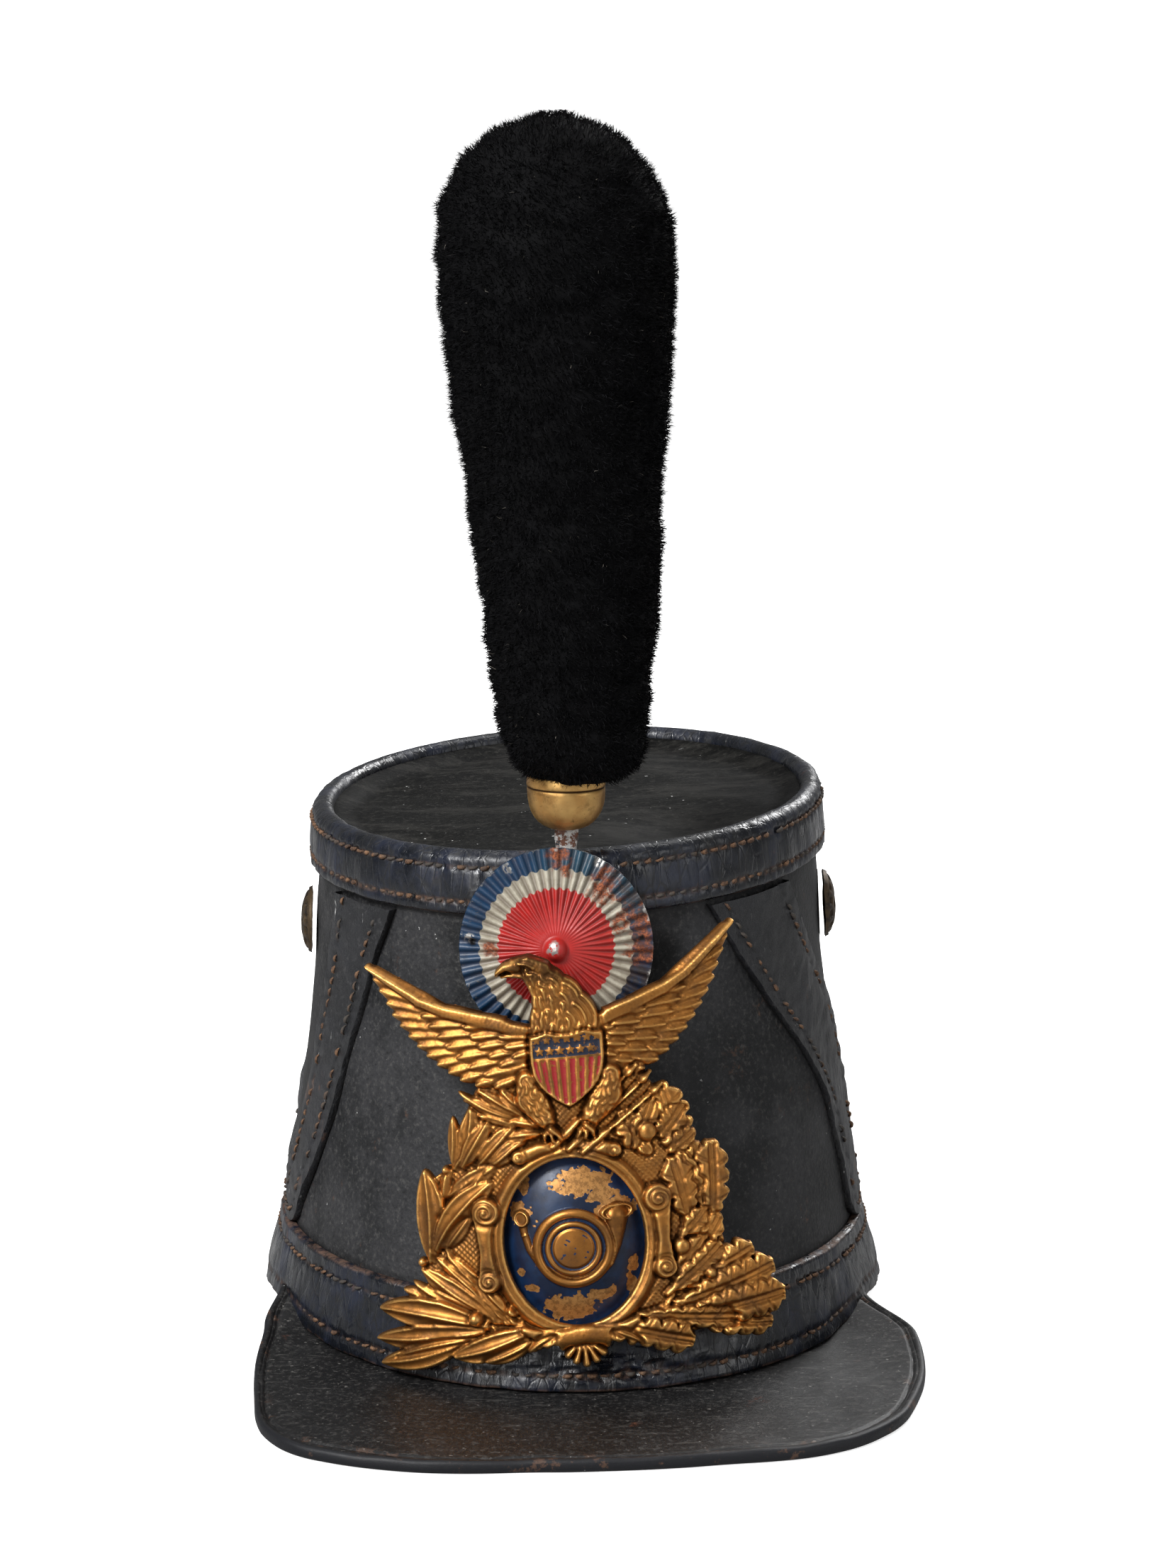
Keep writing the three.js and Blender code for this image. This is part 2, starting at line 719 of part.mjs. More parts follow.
// Row of feathers side by side, a ridge on each and a valley between, down to the back
function fan(feathers, rise) {
  const along = [0, 0.55, 1];
  const ridge = [0.6, 1, 0.35];
  const columns = 2 * feathers.length + 1;
  const place = (feather, share) => ({
    u: mix(feather.u, feather.tipU, share),
    v: mix(feather.v, feather.tipV, share),
  });
  const spot = (row, column) => {
    const n = Math.floor(column / 2);
    if (column % 2) return { ...place(feathers[n], along[row]), height: ridge[row] * rise * RELIEF };
    const height = ridge[row] * rise * RELIEF * 0.45;
    const share = along[row] * 0.9;
    const before = feathers[Math.max(0, n - 1)];
    const after = feathers[Math.min(feathers.length - 1, n)];
    const a = place(before, share);
    const b = place(after, share);
    if (before !== after) return { u: mix(a.u, b.u, 0.5), v: mix(a.v, b.v, 0.5), height };
    const side = n === 0 ? 1 : -1;
    return { u: a.u, v: a.v + side * before.half * (1 - 0.5 * along[row]), height };
  };
  return sweep(along.length, 2 * columns, false, (row, k) => {
    const above = k < columns;
    const { u, v, height } = spot(row, above ? k : 2 * columns - 1 - k);
    return platePoint(u, v, above ? height : RELIEF_BASE);
  }, true);
}

// Low dome, for berries, acorns and the middles of scrolls
function knob({ u, v, size, rise }) {
  const sides = 6;
  const tiers = [
    { out: size, height: RELIEF_BASE },
    { out: size * 0.6, height: rise * RELIEF },
  ];
  return sweep(tiers.length, sides, false, (i, k) => {
    const angle = (2 * Math.PI * k) / sides;
    const { out, height } = tiers[i];
    return platePoint(u + out * Math.cos(angle), v + out * Math.sin(angle), height);
  });
}

// Wing feathers of the left wing; the right wing mirrors them and stands a little higher
const PRIMARIES = [
  { u: -28, v: 60, tipU: -48.3, tipV: 72, half: 1.2 },
  { u: -25.6, v: 58, tipU: -46.2, tipV: 66, half: 1.6 },
  { u: -24, v: 56, tipU: -43.6, tipV: 60.8, half: 1.8 },
  { u: -22.6, v: 53.6, tipU: -40.6, tipV: 56, half: 1.8 },
  { u: -21, v: 51.2, tipU: -37, tipV: 51.6, half: 1.8 },
  { u: -19, v: 48.8, tipU: -33.4, tipV: 47.4, half: 1.8 },
  { u: -16.8, v: 46.4, tipU: -29.4, tipV: 44, half: 1.7 },
  { u: -13.4, v: 44.2, tipU: -24.4, tipV: 41.2, half: 1.5 },
  { u: -9.4, v: 42.6, tipU: -17.4, tipV: 40.2, half: 1.2 },
];
const COVERTS = [
  { u: -16, v: 58, tipU: -31.5, tipV: 58.8, half: 1.4 },
  { u: -13, v: 55.2, tipU: -28.8, tipV: 54.8, half: 1.8 },
  { u: -10.6, v: 52, tipU: -26, tipV: 50.8, half: 1.8 },
  { u: -9, v: 48.6, tipU: -22.8, tipV: 46.8, half: 1.8 },
  { u: -7.6, v: 45.2, tipU: -18.2, tipV: 43, half: 1.5 },
];
const WING_TIP = 48.4;
const RIGHT_WING_LIFT = 3.5;
const WING_EDGE = [
  { u: -7, v: 54.4, half: 1, rise: 0.6 },
  { u: -12, v: 55, half: 1.2, rise: 0.8 },
  { u: -16, v: 58, half: 1.4, rise: 0.9 },
  { u: -23, v: 59.4, half: 1.3, rise: 0.85 },
  { u: -31, v: 61, half: 1.1, rise: 0.8 },
  { u: -40, v: 66.6, half: 0.9, rise: 0.6 },
  { u: -48.4, v: 72.4, half: 0.5, rise: 0.3 },
];
function wing(side) {
  const place = (row) => {
    const moved = { ...row };
    const lift = (u) => (side > 0 ? RIGHT_WING_LIFT * (u / WING_TIP) ** 2 : 0);
    moved.v = row.v + lift(row.u);
    moved.u = -side * row.u;
    if (row.tipU !== undefined) {
      moved.tipV = row.tipV + lift(row.tipU);
      moved.tipU = -side * row.tipU;
    }
    return moved;
  };
  return [
    strip(WING_EDGE.map(place)),
    fan(PRIMARIES.map(place), 0.45),
    fan(COVERTS.map(place), 0.7),
  ];
}

// Head, neck, shield, legs and arrows
const NECK = [
  { u: 2.2, v: 51, half: 9.3, rise: 0.95 },
  { u: 2.4, v: 56, half: 8.6, rise: 1.15 },
  { u: 1.2, v: 61, half: 6.8, rise: 1.2 },
  { u: -1, v: 65, half: 5, rise: 1.15 },
  { u: -3.6, v: 68.4, half: 4, rise: 1.15 },
  { u: -7.2, v: 70.3, half: 2.6, rise: 1.05 },
  { u: -10.6, v: 71, half: 1.3, rise: 0.8 },
  { u: -13.2, v: 69.8, half: 0.8, rise: 0.6 },
  { u: -13.9, v: 68.6, half: 0.25, rise: 0.3 },
];
const SHIELD_STRIPES = [
  { u: -5.2, v: 48, tipU: -4.4, tipV: 39.6, half: 1.5 },
  { u: -2.2, v: 48, tipU: -1.6, tipV: 36.4, half: 1.5 },
  { u: 0.9, v: 48, tipU: 0.6, tipV: 34.4, half: 1.5 },
  { u: 4, v: 48, tipU: 3.6, tipV: 36, half: 1.5 },
  { u: 7, v: 48, tipU: 6.6, tipV: 38, half: 1.5 },
  { u: 10, v: 48, tipU: 9.2, tipV: 41.4, half: 1.5 },
];
const ARROWS = [
  { u: -1, v: 26.4, tipU: 19.4, tipV: 43 },
  { u: 2, v: 25, tipU: 23, tipV: 40.8 },
  { u: 5, v: 23.6, tipU: 25, tipV: 37.4 },
];
const SPRIG = [
  { u: -9, v: 31, tipU: -25.4, tipV: 37.6, half: 2.2 },
  { u: -8, v: 32, tipU: -20, tipV: 39.4, half: 1.8 },
  { u: -6, v: 33, tipU: -13, tipV: 40.4, half: 2.6 },
];

function eagle() {
  return [
    strip(NECK),
    fan(SHIELD_STRIPES, 0.95),
    strip([
      { u: -6.4, v: 49.6, half: 3, rise: 0.75 },
      { u: 2.4, v: 49.8, half: 3.2, rise: 1.12 },
      { u: 11.2, v: 49.2, half: 3, rise: 0.75 },
    ]),
    leaf({ u: -7, v: 41, tipU: -2, tipV: 29, half: 3.4, rise: 0.9 }),
    leaf({ u: 11, v: 40, tipU: 4, tipV: 29.5, half: 3.6, rise: 0.95 }),
    ...ARROWS.map((row) => leaf({ ...row, half: 0.9, rise: 0.85, widest: 0.3 })),
    ...SPRIG.map((row) => leaf({ ...row, rise: 0.6 })),
  ];
}

// Laurel on the viewer's left
const LAUREL = [
  { u: -29.4, v: 20, tipU: -23.4, tipV: 35.8, half: 2.8, rise: 0.65, bow: 0.1 },
  { u: -27, v: 20.4, tipU: -19, tipV: 32, half: 2.2, rise: 0.75 },
  { u: -23, v: 20.4, tipU: -12, tipV: 31, half: 2.3, rise: 0.65 },
  { u: -20, v: 20, tipU: -9.6, tipV: 27.4, half: 1.9, rise: 0.75 },
  { u: -32, v: 13, tipU: -18, tipV: 20.6, half: 2.2, rise: 0.6 },
  { u: -38, v: -3.6, tipU: -37.6, tipV: 20.4, half: 3.6, rise: 0.7, bow: 0.05 },
  { u: -36, v: -0.4, tipU: -19.4, tipV: 16.6, half: 3.4, rise: 0.85, bow: -0.05 },
  { u: -17, v: -20, tipU: -33.6, tipV: -1.4, half: 2.2, rise: 0.65 },
  { u: -21, v: -19.6, tipU: -41.4, tipV: -4.8, half: 2.6, rise: 0.7 },
  { u: -24, v: -19, tipU: -47, tipV: -10.4, half: 2.6, rise: 0.65 },
  { u: -24, v: -20.4, tipU: -54.6, tipV: -15.4, half: 3.6, rise: 0.95, bow: 0.03 },
  { u: -25, v: -21.6, tipU: -56.4, tipV: -23.4, half: 3, rise: 0.85, bow: -0.02 },
  { u: -30, v: -24.4, tipU: -56, tipV: -30, half: 2.8, rise: 0.75, bow: -0.03 },
  { u: -12, v: -21.4, tipU: -34.2, tipV: -28, half: 3.2, rise: 0.95, bow: -0.04 },
];
const BERRIES = [
  { u: -40.4, v: -3.6, size: 1.3, rise: 0.5 },
  { u: -26.6, v: -18, size: 1.9, rise: 1.2 },
  { u: -17, v: -16.4, size: 1.6, rise: 0.9 },
  { u: -11.4, v: -25.6, size: 1.6, rise: 0.7 },
];

// Oak on the viewer's right, each leaf a row of lobes along its rib
const OAK = [
  { u: 29.4, v: 18.4, tipU: 24.8, tipV: 37.6, half: 4.8, rise: 0.65 },
  { u: 21, v: 20, tipU: 14.6, tipV: 32, half: 3.8, rise: 0.6 },
  { u: 35.6, v: -0.6, tipU: 37.4, tipV: 21.4, half: 4, rise: 0.75 },
  { u: 30, v: 1, tipU: 26.6, tipV: 18.6, half: 3.4, rise: 0.7 },
  { u: 25, v: -14.6, tipU: 47, tipV: -7.4, half: 3.4, rise: 0.75 },
  { u: 24, v: -19, tipU: 52.6, tipV: -12.8, half: 3.8, rise: 0.85 },
  { u: 25, v: -21.6, tipU: 55.2, tipV: -20.4, half: 3.8, rise: 0.95 },
  { u: 27, v: -23, tipU: 51, tipV: -27.2, half: 3.2, rise: 0.75 },
  { u: 8.6, v: -22, tipU: 28.6, tipV: -28.6, half: 3.4, rise: 0.85 },
];
const ACORNS = [
  { u: 20.6, v: 26, size: 2.5, rise: 0.9 },
  { u: 27, v: -4.2, size: 2.2, rise: 0.85 },
  { u: 12.4, v: -26.6, size: 1.4, rise: 0.6 },
];

function oakLeaf({ u, v, tipU, tipV, half, rise }) {
  const lobes = [
    { along: 0, width: 0.3 },
    { along: 0.3, width: 1 },
    { along: 0.48, width: 0.65 },
    { along: 0.72, width: 0.95 },
    { along: 1, width: 0.15 },
  ];
  return strip(lobes.map(({ along, width }) => ({
    u: mix(u, tipU, along),
    v: mix(v, tipV, along),
    half: half * width,
    rise: rise * mix(0.6, 1, Math.sin(Math.PI * along)),
  })));
}

// Oval moulding round the opening
function ovalMoulding() {
  const steps = 22;
  const section = [
    { out: -1, height: BACK * 0.85 },
    { out: 3.6, height: BACK * 0.85 },
    { out: 1.6, height: RELIEF * 0.62 },
    { out: -1, height: RELIEF * 0.25 },
  ];
  return sweep(steps, section.length, true, (i, k) => {
    const angle = (2 * Math.PI * i) / steps;
    const { out, height } = section[k];
    return platePoint(
      (OPENING_WIDTH / 2 / MODULE_ACROSS + out) * Math.cos(angle),
      (OPENING_HEIGHT / 2 / MODULE_UP + out) * Math.sin(angle),
      height,
    );
  });
}

const SCALLOP = [
  { u: -2, v: -24, tipU: -6, tipV: -28, half: 1 },
  { u: -1, v: -24, tipU: -3.4, tipV: -30, half: 1 },
  { u: 0.4, v: -24, tipU: 0.4, tipV: -31, half: 1 },
  { u: 1.8, v: -24, tipU: 4.2, tipV: -30, half: 1 },
  { u: 2.8, v: -24, tipU: 6.6, tipV: -28, half: 1 },
];

// Scrolls at the sides of the moulding, its rolled ends above and the shell below
function frame() {
  const column = (side) => strip([
    { u: 22 * side, v: 6, half: 2.6, rise: 0.95 },
    { u: 22.4 * side, v: 0, half: 2.2, rise: 1.05 },
    { u: 22.4 * side, v: -6, half: 2.6, rise: 0.95 },
  ]);
  const parts = [ovalMoulding()];
  for (const side of [-1, 1]) {
    parts.push(column(side));
    parts.push(knob({ u: 21.6 * side, v: 9, size: 3.5, rise: 1.1 }));
    parts.push(knob({ u: 22.3 * side, v: -8.6, size: 3, rise: 1 }));
    parts.push(leaf({ u: 3 * side, v: 24, tipU: 12.4 * side, tipV: 22.6, half: 1.8, rise: 0.8 }));
  }
  parts.push(strip([
    { u: -14, v: -22.4, half: 2.4, rise: 0.4 },
    { u: -6, v: -24.4, half: 2.6, rise: 0.7 },
    { u: 6, v: -24.4, half: 2.6, rise: 0.7 },
    { u: 14, v: -22.4, half: 2.4, rise: 0.4 },
  ]));
  parts.push(fan(SCALLOP, 0.6));
  return parts;
}

// Tool that cuts the plate's opening
function openingPlug() {
  const columns = 24;
  const depth = 5 * RELIEF;
  return sweep(2, columns, false, (i, k) => {
    const angle = (2 * Math.PI * (k + 0.5)) / columns;
    return plateMiddle.clone()
      .addScaledVector(plateAxes.across, (OPENING_WIDTH / 2) * Math.cos(angle))
      .addScaledVector(plateAxes.up, (OPENING_HEIGHT / 2) * Math.sin(angle))
      .addScaledVector(plateAxes.out, i ? depth : -depth);
  });
}

function eagleGeometry() {
  const parts = [
    backing(),
    ...frame(),
    ...LAUREL.map(leaf),
    ...BERRIES.map(knob),
    ...OAK.map(oakLeaf),
    ...ACORNS.map(knob),
    ...eagle(),
    ...wing(-1),
    ...wing(1),
  ];
  return geometryOf(joined(parts).subtract(solidOf(openingPlug())));
}

// Domed oval disc whose flange lies behind the plate, with a horn on it
const MEDALLION_RINGS = [
  { reach: 0, height: 1 },
  { reach: 0.55, height: 0.78 },
  { reach: 0.94, height: 0.12 },
];
const flangeTop = BACK - CLEARANCE - 0.6;

// Point in mm on the medallion, which is bent like the plate
function medallionPoint(across, up, height) {
  return platePoint(across / MODULE_ACROSS, up / MODULE_UP, height);
}

function medallionFace(reach) {
  const rise = between(MEDALLION_RINGS, "reach", reach, "height");
  return flangeTop + (MEDALLION_DOME - flangeTop) * rise * 0.82;
}

// Raised tube on the medallion, rows in mm from its middle
function tube(rows) {
  return sweep(rows.length, 3, false, (i, k) => {
    const next = rows[Math.min(i + 1, rows.length - 1)];
    const last = rows[Math.max(i - 1, 0)];
    const ahead = new THREE.Vector2(next.u - last.u, next.v - last.v).normalize();
    const { u, v, half } = rows[i];
    const side = half * (k - 1) * 1.15;
    const x = u - ahead.y * side;
    const y = v + ahead.x * side;
    const reach = Math.hypot(u / (OPENING_WIDTH / 2), v / (OPENING_HEIGHT / 2));
    return medallionPoint(x, y, medallionFace(reach) + half * (k === 1 ? 0.9 : -0.5));
  });
}

function ringOnMedallion(u, v, radius, half, steps) {
  return sweep(steps, 3, true, (i, k) => {
    const angle = (2 * Math.PI * i) / steps;
    const out = radius + half * (k - 1) * 1.15;
    const height = medallionFace(0.3) + half * (k === 1 ? 0.9 : -0.9);
    return medallionPoint(u + out * Math.cos(angle), v + out * Math.sin(angle), height);
  });
}

// Horn: mouthpiece, the tube that sweeps under the coil, and the bell
const HORN_TUBE = [
  { u: -13, v: 6.6, half: 1.6 },
  { u: -12.2, v: 2.4, half: 0.9 },
  { u: -8.6, v: -5.6, half: 1 },
  { u: -1, v: -10, half: 1.1 },
  { u: 6.4, v: -7.8, half: 1.4 },
  { u: 10.4, v: -1, half: 1.9 },
  { u: 11.2, v: 4.6, half: 2.6 },
  { u: 11.3, v: 7.4, half: 4.2 },
];

function medallionGeometry() {
  const columns = 18;
  const halfAcross = OPENING_WIDTH / 2 - CLEARANCE;
  const halfUp = OPENING_HEIGHT / 2 - CLEARANCE;
  const rings = [...MEDALLION_RINGS.slice(1).map((row) => row.reach), 1, 1.001];
  const face = (drop) => (ring, column) => {
    const angle = (2 * Math.PI * column) / columns;
    const reach = ring === 0 ? 0 : rings[ring - 1];
    const wider = ring === rings.length ? MEDALLION_FLANGE + CLEARANCE : 0;
    const height = reach >= 1 ? flangeTop : medallionFace(reach);
    return medallionPoint(
      (halfAcross * reach + wider) * Math.cos(angle),
      (halfUp * reach + wider) * Math.sin(angle),
      height - drop,
    );
  };
  const dome = disc(rings.length, columns, face(0), face(MEDALLION_SHEET));
  return geometryOf(joined([
    dome,
    tube(HORN_TUBE),
    ringOnMedallion(0, -1.4, 7.6, 1.7, 12),
  ]));
}

// Hidden post between the leather and the medallion's back
function postGeometry() {
  const radius = POST_DIAMETER / 2;
  const medallionBack = medallionFace(radius / (OPENING_HEIGHT / 2)) - MEDALLION_SHEET;
  const columns = 12;
  return sweep(2, columns, false, (i, k) => {
    const angle = (2 * Math.PI * k) / columns;
    const across = radius * Math.cos(angle);
    const up = radius * Math.sin(angle);
    if (i === 1) return medallionPoint(across, up, medallionBack - CLEARANCE);
    const place = medallionPoint(across, up, 0);
    const leather = bodyPoint(across / 1.25, place.z, CLEARANCE);
    return new THREE.Vector3(place.x, leather.y, place.z);
  });
}

// Assembly
const shako = new THREE.Group();

function add(name, geometry, color, roughness, metalness, parent = shako) {
  const material = new THREE.MeshStandardMaterial({ color, roughness, metalness });
  const mesh = new THREE.Mesh(geometry, material);
  mesh.name = name;
  parent.add(mesh);
  return mesh;
}

add("shell", shellGeometry(), 0x323234, 0.8, 0);
add("crown_top", crownGeometry(), 0x3a3936, 0.7, 0);
add("top_band", topBandGeometry(), 0x23262d, 0.45, 0);
add("bottom_band", bottomBandGeometry(), 0x23262d, 0.45, 0);
add("chevron_left", strapGeometry(STRAP_LEFT), 0x2c2d30, 0.6, 0);
add("chevron_right", strapGeometry(STRAP_RIGHT), 0x2c2d30, 0.6, 0);
add("visor", visorGeometry(), 0x1c1c1e, 0.6, 0);
add("visor_binding", bindingGeometry(), 0x232228, 0.5, 0);

// Ventilators stand square on the leather
for (const [name, turn] of [["vent_left", -86], ["vent_right", 88]]) {
  const foot = bodyPoint(turn, VENT_HEIGHT, 0);
  const out = bodyPoint(turn, VENT_HEIGHT, 1).sub(foot).normalize();
  const up = bodyPoint(turn, VENT_HEIGHT + 1, 0).sub(foot).normalize();
  const facing = up.clone().cross(out).cross(up).normalize();
  const vent = add(name, ventGeometry(), 0x4a4234, 0.5, 0.7);
  vent.quaternion.setFromUnitVectors(new THREE.Vector3(0, 1, 0), facing);
  vent.position.copy(foot).addScaledVector(out, VENT_DOME * 0.2 + CLEARANCE * 3);
}

// Cockade stands in front of the holder
const cockade = add("cockade", cockadeGeometry(), 0xcd322d, 0.55, 0.2);
const cockadeTop = COCKADE_HEIGHT + COCKADE_DIAMETER / 2;
const stemFront = stemLow + (cockadeTop - bandFront.z) * stemSlope - STEM_THICKNESS / 2;
const rimBack = COCKADE_SHEET + PLEAT_DEPTH / 2;
cockade.rotation.set(Math.PI - cockadeLean, 0, 0);
cockade.position.set(
  -ORNAMENT_SIDE,
  stemFront - CLEARANCE - rimBack - (COCKADE_DIAMETER / 2) * Math.tan(cockadeLean),
  COCKADE_HEIGHT,
);

add("plume_stem", stemGeometry(), 0x77736c, 0.5, 0.6);
const ornament = new THREE.Group();
ornament.position.copy(cupFoot);
shako.add(ornament);
add("plume_cup", cupGeometry(), 0xb98234, 0.35, 1, ornament);
const plume = add("plume", plumeGeometry(), 0x0d0d0f, 0.8, 0, ornament);
plume.position.z = CUP_HEIGHT;

add("eagle_plate", eagleGeometry(), 0xbe8234, 0.35, 1);
add("medallion", medallionGeometry(), 0x1c3560, 0.4, 0.3);
add("plate_post", postGeometry(), 0xbe8234, 0.5, 1);

// The origin is in the middle under the whole hat
const model = new THREE.Group();
model.add(shako);
model.updateMatrixWorld(true);
const box = new THREE.Box3().setFromObject(shako, true);
const middle = box.getCenter(new THREE.Vector3());
shako.position.set(-middle.x, -middle.y, -box.min.z);

export default model;
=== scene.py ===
# Finish of a leather shako: stitched leather, a stamped gilt plate, a painted cockade
# and a curly black plume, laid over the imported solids. Lengths are in millimetres.
import math

import bpy
import numpy as np
from mathutils import Matrix, Vector


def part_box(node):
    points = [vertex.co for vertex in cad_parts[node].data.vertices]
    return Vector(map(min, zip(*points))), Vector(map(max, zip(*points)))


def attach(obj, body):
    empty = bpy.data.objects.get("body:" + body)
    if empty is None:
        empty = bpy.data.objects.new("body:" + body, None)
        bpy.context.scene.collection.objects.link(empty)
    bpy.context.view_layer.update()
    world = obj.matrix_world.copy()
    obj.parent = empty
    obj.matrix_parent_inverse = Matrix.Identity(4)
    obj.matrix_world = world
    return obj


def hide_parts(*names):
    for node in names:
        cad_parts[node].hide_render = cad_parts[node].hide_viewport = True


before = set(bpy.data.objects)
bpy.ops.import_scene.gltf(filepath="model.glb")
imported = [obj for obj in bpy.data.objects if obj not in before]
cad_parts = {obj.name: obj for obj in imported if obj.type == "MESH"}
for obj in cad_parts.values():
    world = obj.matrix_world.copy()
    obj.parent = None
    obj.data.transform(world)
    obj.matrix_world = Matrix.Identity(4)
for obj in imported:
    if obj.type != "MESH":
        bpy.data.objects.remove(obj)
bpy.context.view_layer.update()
MM = 0.001

# Leather body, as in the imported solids
RIM_WIDTH = 167.2
RIM_LENGTH = 195.6
CROWN_WIDTH = 136.0
CROWN_LENGTH = 156.4
BODY_HEIGHT = 142.0
CROWN_SET_BACK = 5.35
CROWN_SET_LEFT = 1.8
CROWN_NOD = 2.1
CROWN_ROLL = 2.7
SHELL_WALL = 2.5
CLEARANCE = 0.3
BAND_THICKNESS = 2.2
TOP_BAND_HEIGHT = 16.5
BOTTOM_BAND_HEIGHT = 26.0
TOP_BAND_FOOT = BODY_HEIGHT - TOP_BAND_HEIGHT
VISOR_THICKNESS = 2.7
VISOR_SIDE_LIFT = 4.2
VISOR_SPAN = 70.0
BINDING_WIDTH = 3.0
VENT_HEIGHT = 108.0
VENT_RADIUS = 9.5
VENT_DOME = 4.0

GIRTH_AT = [0, 0.18, 0.32, 0.45, 0.58, 0.7, 0.84, 0.91, 1]
GIRTH = [1, 0.977, 0.978, 0.968, 0.965, 0.96, 0.98, 0.988, 1]
RIM_TURN = [0, 50, 60, 70, 80, 100, 180]
RIM_OVER_VISOR = [1, 1, 1, 1, 0.9, 0, 0]
RIM_AT_SIDE = [0, 0.05, 0.45, 1, 0.7, 0, 0]
VISOR_EDGE_TURN = [-70, -60, -49, -43.7, -38.7, -35.5, -31, -24.4, -17, -5, 4, 10, 17.5,
                   27, 33, 40, 46, 51, 56, 61.6, 67, 70]
VISOR_EDGE_REACH = [1.075, 1.14, 1.318, 1.414, 1.53, 1.58, 1.615, 1.6, 1.57, 1.503, 1.494,
                    1.5, 1.516, 1.574, 1.584, 1.55, 1.47, 1.408, 1.335, 1.246, 1.14, 1.09]

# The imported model's origin seen from the middle of the rim's oval
band_low, band_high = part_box("bottom_band")
RIM_BACK = RIM_LENGTH / 2 + CLEARANCE + BAND_THICKNESS
SHIFT = np.array([
    (band_low.x + band_high.x) / 2 / MM,
    band_high.y / MM - RIM_BACK,
    0.0,
])


def in_hat(corner):
    """Corner of a packed box in the hat's own millimetres."""
    return np.array(corner) / MM - SHIFT


def smooth(share):
    t = np.clip(share, 0, 1)
    return t * t * (3 - 2 * t)


def mix(a, b, share):
    return a + (b - a) * share


def hill(offset, width):
    """1 at no offset, falling away smoothly on both sides."""
    return np.exp(-(offset / width) ** 2)


def ridge(offset, width):
    """1 at no offset, 0 from one width away."""
    return smooth(1 - np.abs(offset) / width)


def squarish(wave, power):
    """Sine or cosine with its rounds flattened by a power below 1."""
    return np.sign(wave) * np.abs(wave) ** power


def unit(vectors):
    return vectors / np.maximum(np.linalg.norm(vectors, axis=-1, keepdims=True), 1e-9)


def eased(place, stops, values, reach):
    """Table value with its corners rounded over a reach."""
    offsets = np.linspace(-reach, reach, 7)
    return np.mean([np.interp(place + d, stops, values) for d in offsets], axis=0)


def wobble(points, size, seed, waves=14):
    """Smooth random field from about -1 to 1, its lumps about one size across."""
    rng = np.random.default_rng(seed)
    directions = unit(rng.normal(size=(waves, 3)))
    total = np.zeros(points.shape[:-1])
    for direction in directions:
        rate = 2 * math.pi / (size * rng.uniform(0.7, 1.6))
        total += np.sin(points @ direction * rate + rng.uniform(0, 2 * math.pi))
    return total / math.sqrt(waves) * 0.8


def from_front(turn):
    """The same turn, between -180 and 180 degrees."""
    return (np.asarray(turn, float) + 180) % 360 - 180


def rim_rise(turn):
    """Height of the body's lower edge, over the visor and at the sides."""
    away = np.abs(from_front(turn))
    over = eased(away, RIM_TURN, RIM_OVER_VISOR, 3) * (VISOR_THICKNESS + 2 * CLEARANCE)
    return over + eased(away, RIM_TURN, RIM_AT_SIDE, 3) * VISOR_SIDE_LIFT


def body_point(turn, height, out=0.0):
    """Point on the leather body; arrays broadcast."""
    turn, height, out = np.broadcast_arrays(
        np.asarray(turn, float), np.asarray(height, float), np.asarray(out, float))
    share = height / BODY_HEIGHT
    girth = eased(share, GIRTH_AT, GIRTH, 0.04)
    half_width = mix(RIM_WIDTH, CROWN_WIDTH, share) * girth / 2
    half_length = mix(RIM_LENGTH, CROWN_LENGTH, share) * girth / 2
    angle = np.radians(turn)
    across, ahead = np.sin(angle) / half_width, -np.cos(angle) / half_length
    size = np.hypot(across, ahead)
    x = half_width * np.sin(angle) + out * across / size
    y = -half_length * np.cos(angle) + out * ahead / size
    nod, roll = math.tan(math.radians(CROWN_NOD)), math.tan(math.radians(CROWN_ROLL))
    z = height + share ** 2 * (nod * y + roll * x)
    return np.stack([x - CROWN_SET_LEFT * share, y + CROWN_SET_BACK * share, z], -1)


def grid_faces(rows, columns, closed_rows=False, closed_columns=False):
    """Quads of a grid whose points run row by row."""
    last_row = rows if closed_rows else rows - 1
    last_column = columns if closed_columns else columns - 1
    r, c = np.meshgrid(np.arange(last_row), np.arange(last_column), indexing="ij")
    r, c = r.ravel(), c.ravel()
    r2, c2 = (r + 1) % rows, (c + 1) % columns
    return np.stack([r * columns + c, r * columns + c2, r2 * columns + c2, r2 * columns + c], 1)


def two_sheets(front, rear, faces):
    """Points and faces of a sheet and of the sheet behind it."""
    points = np.concatenate([front.reshape(-1, 3), rear.reshape(-1, 3)])
    return points, np.concatenate([faces, faces[:, ::-1] + len(points) // 2])


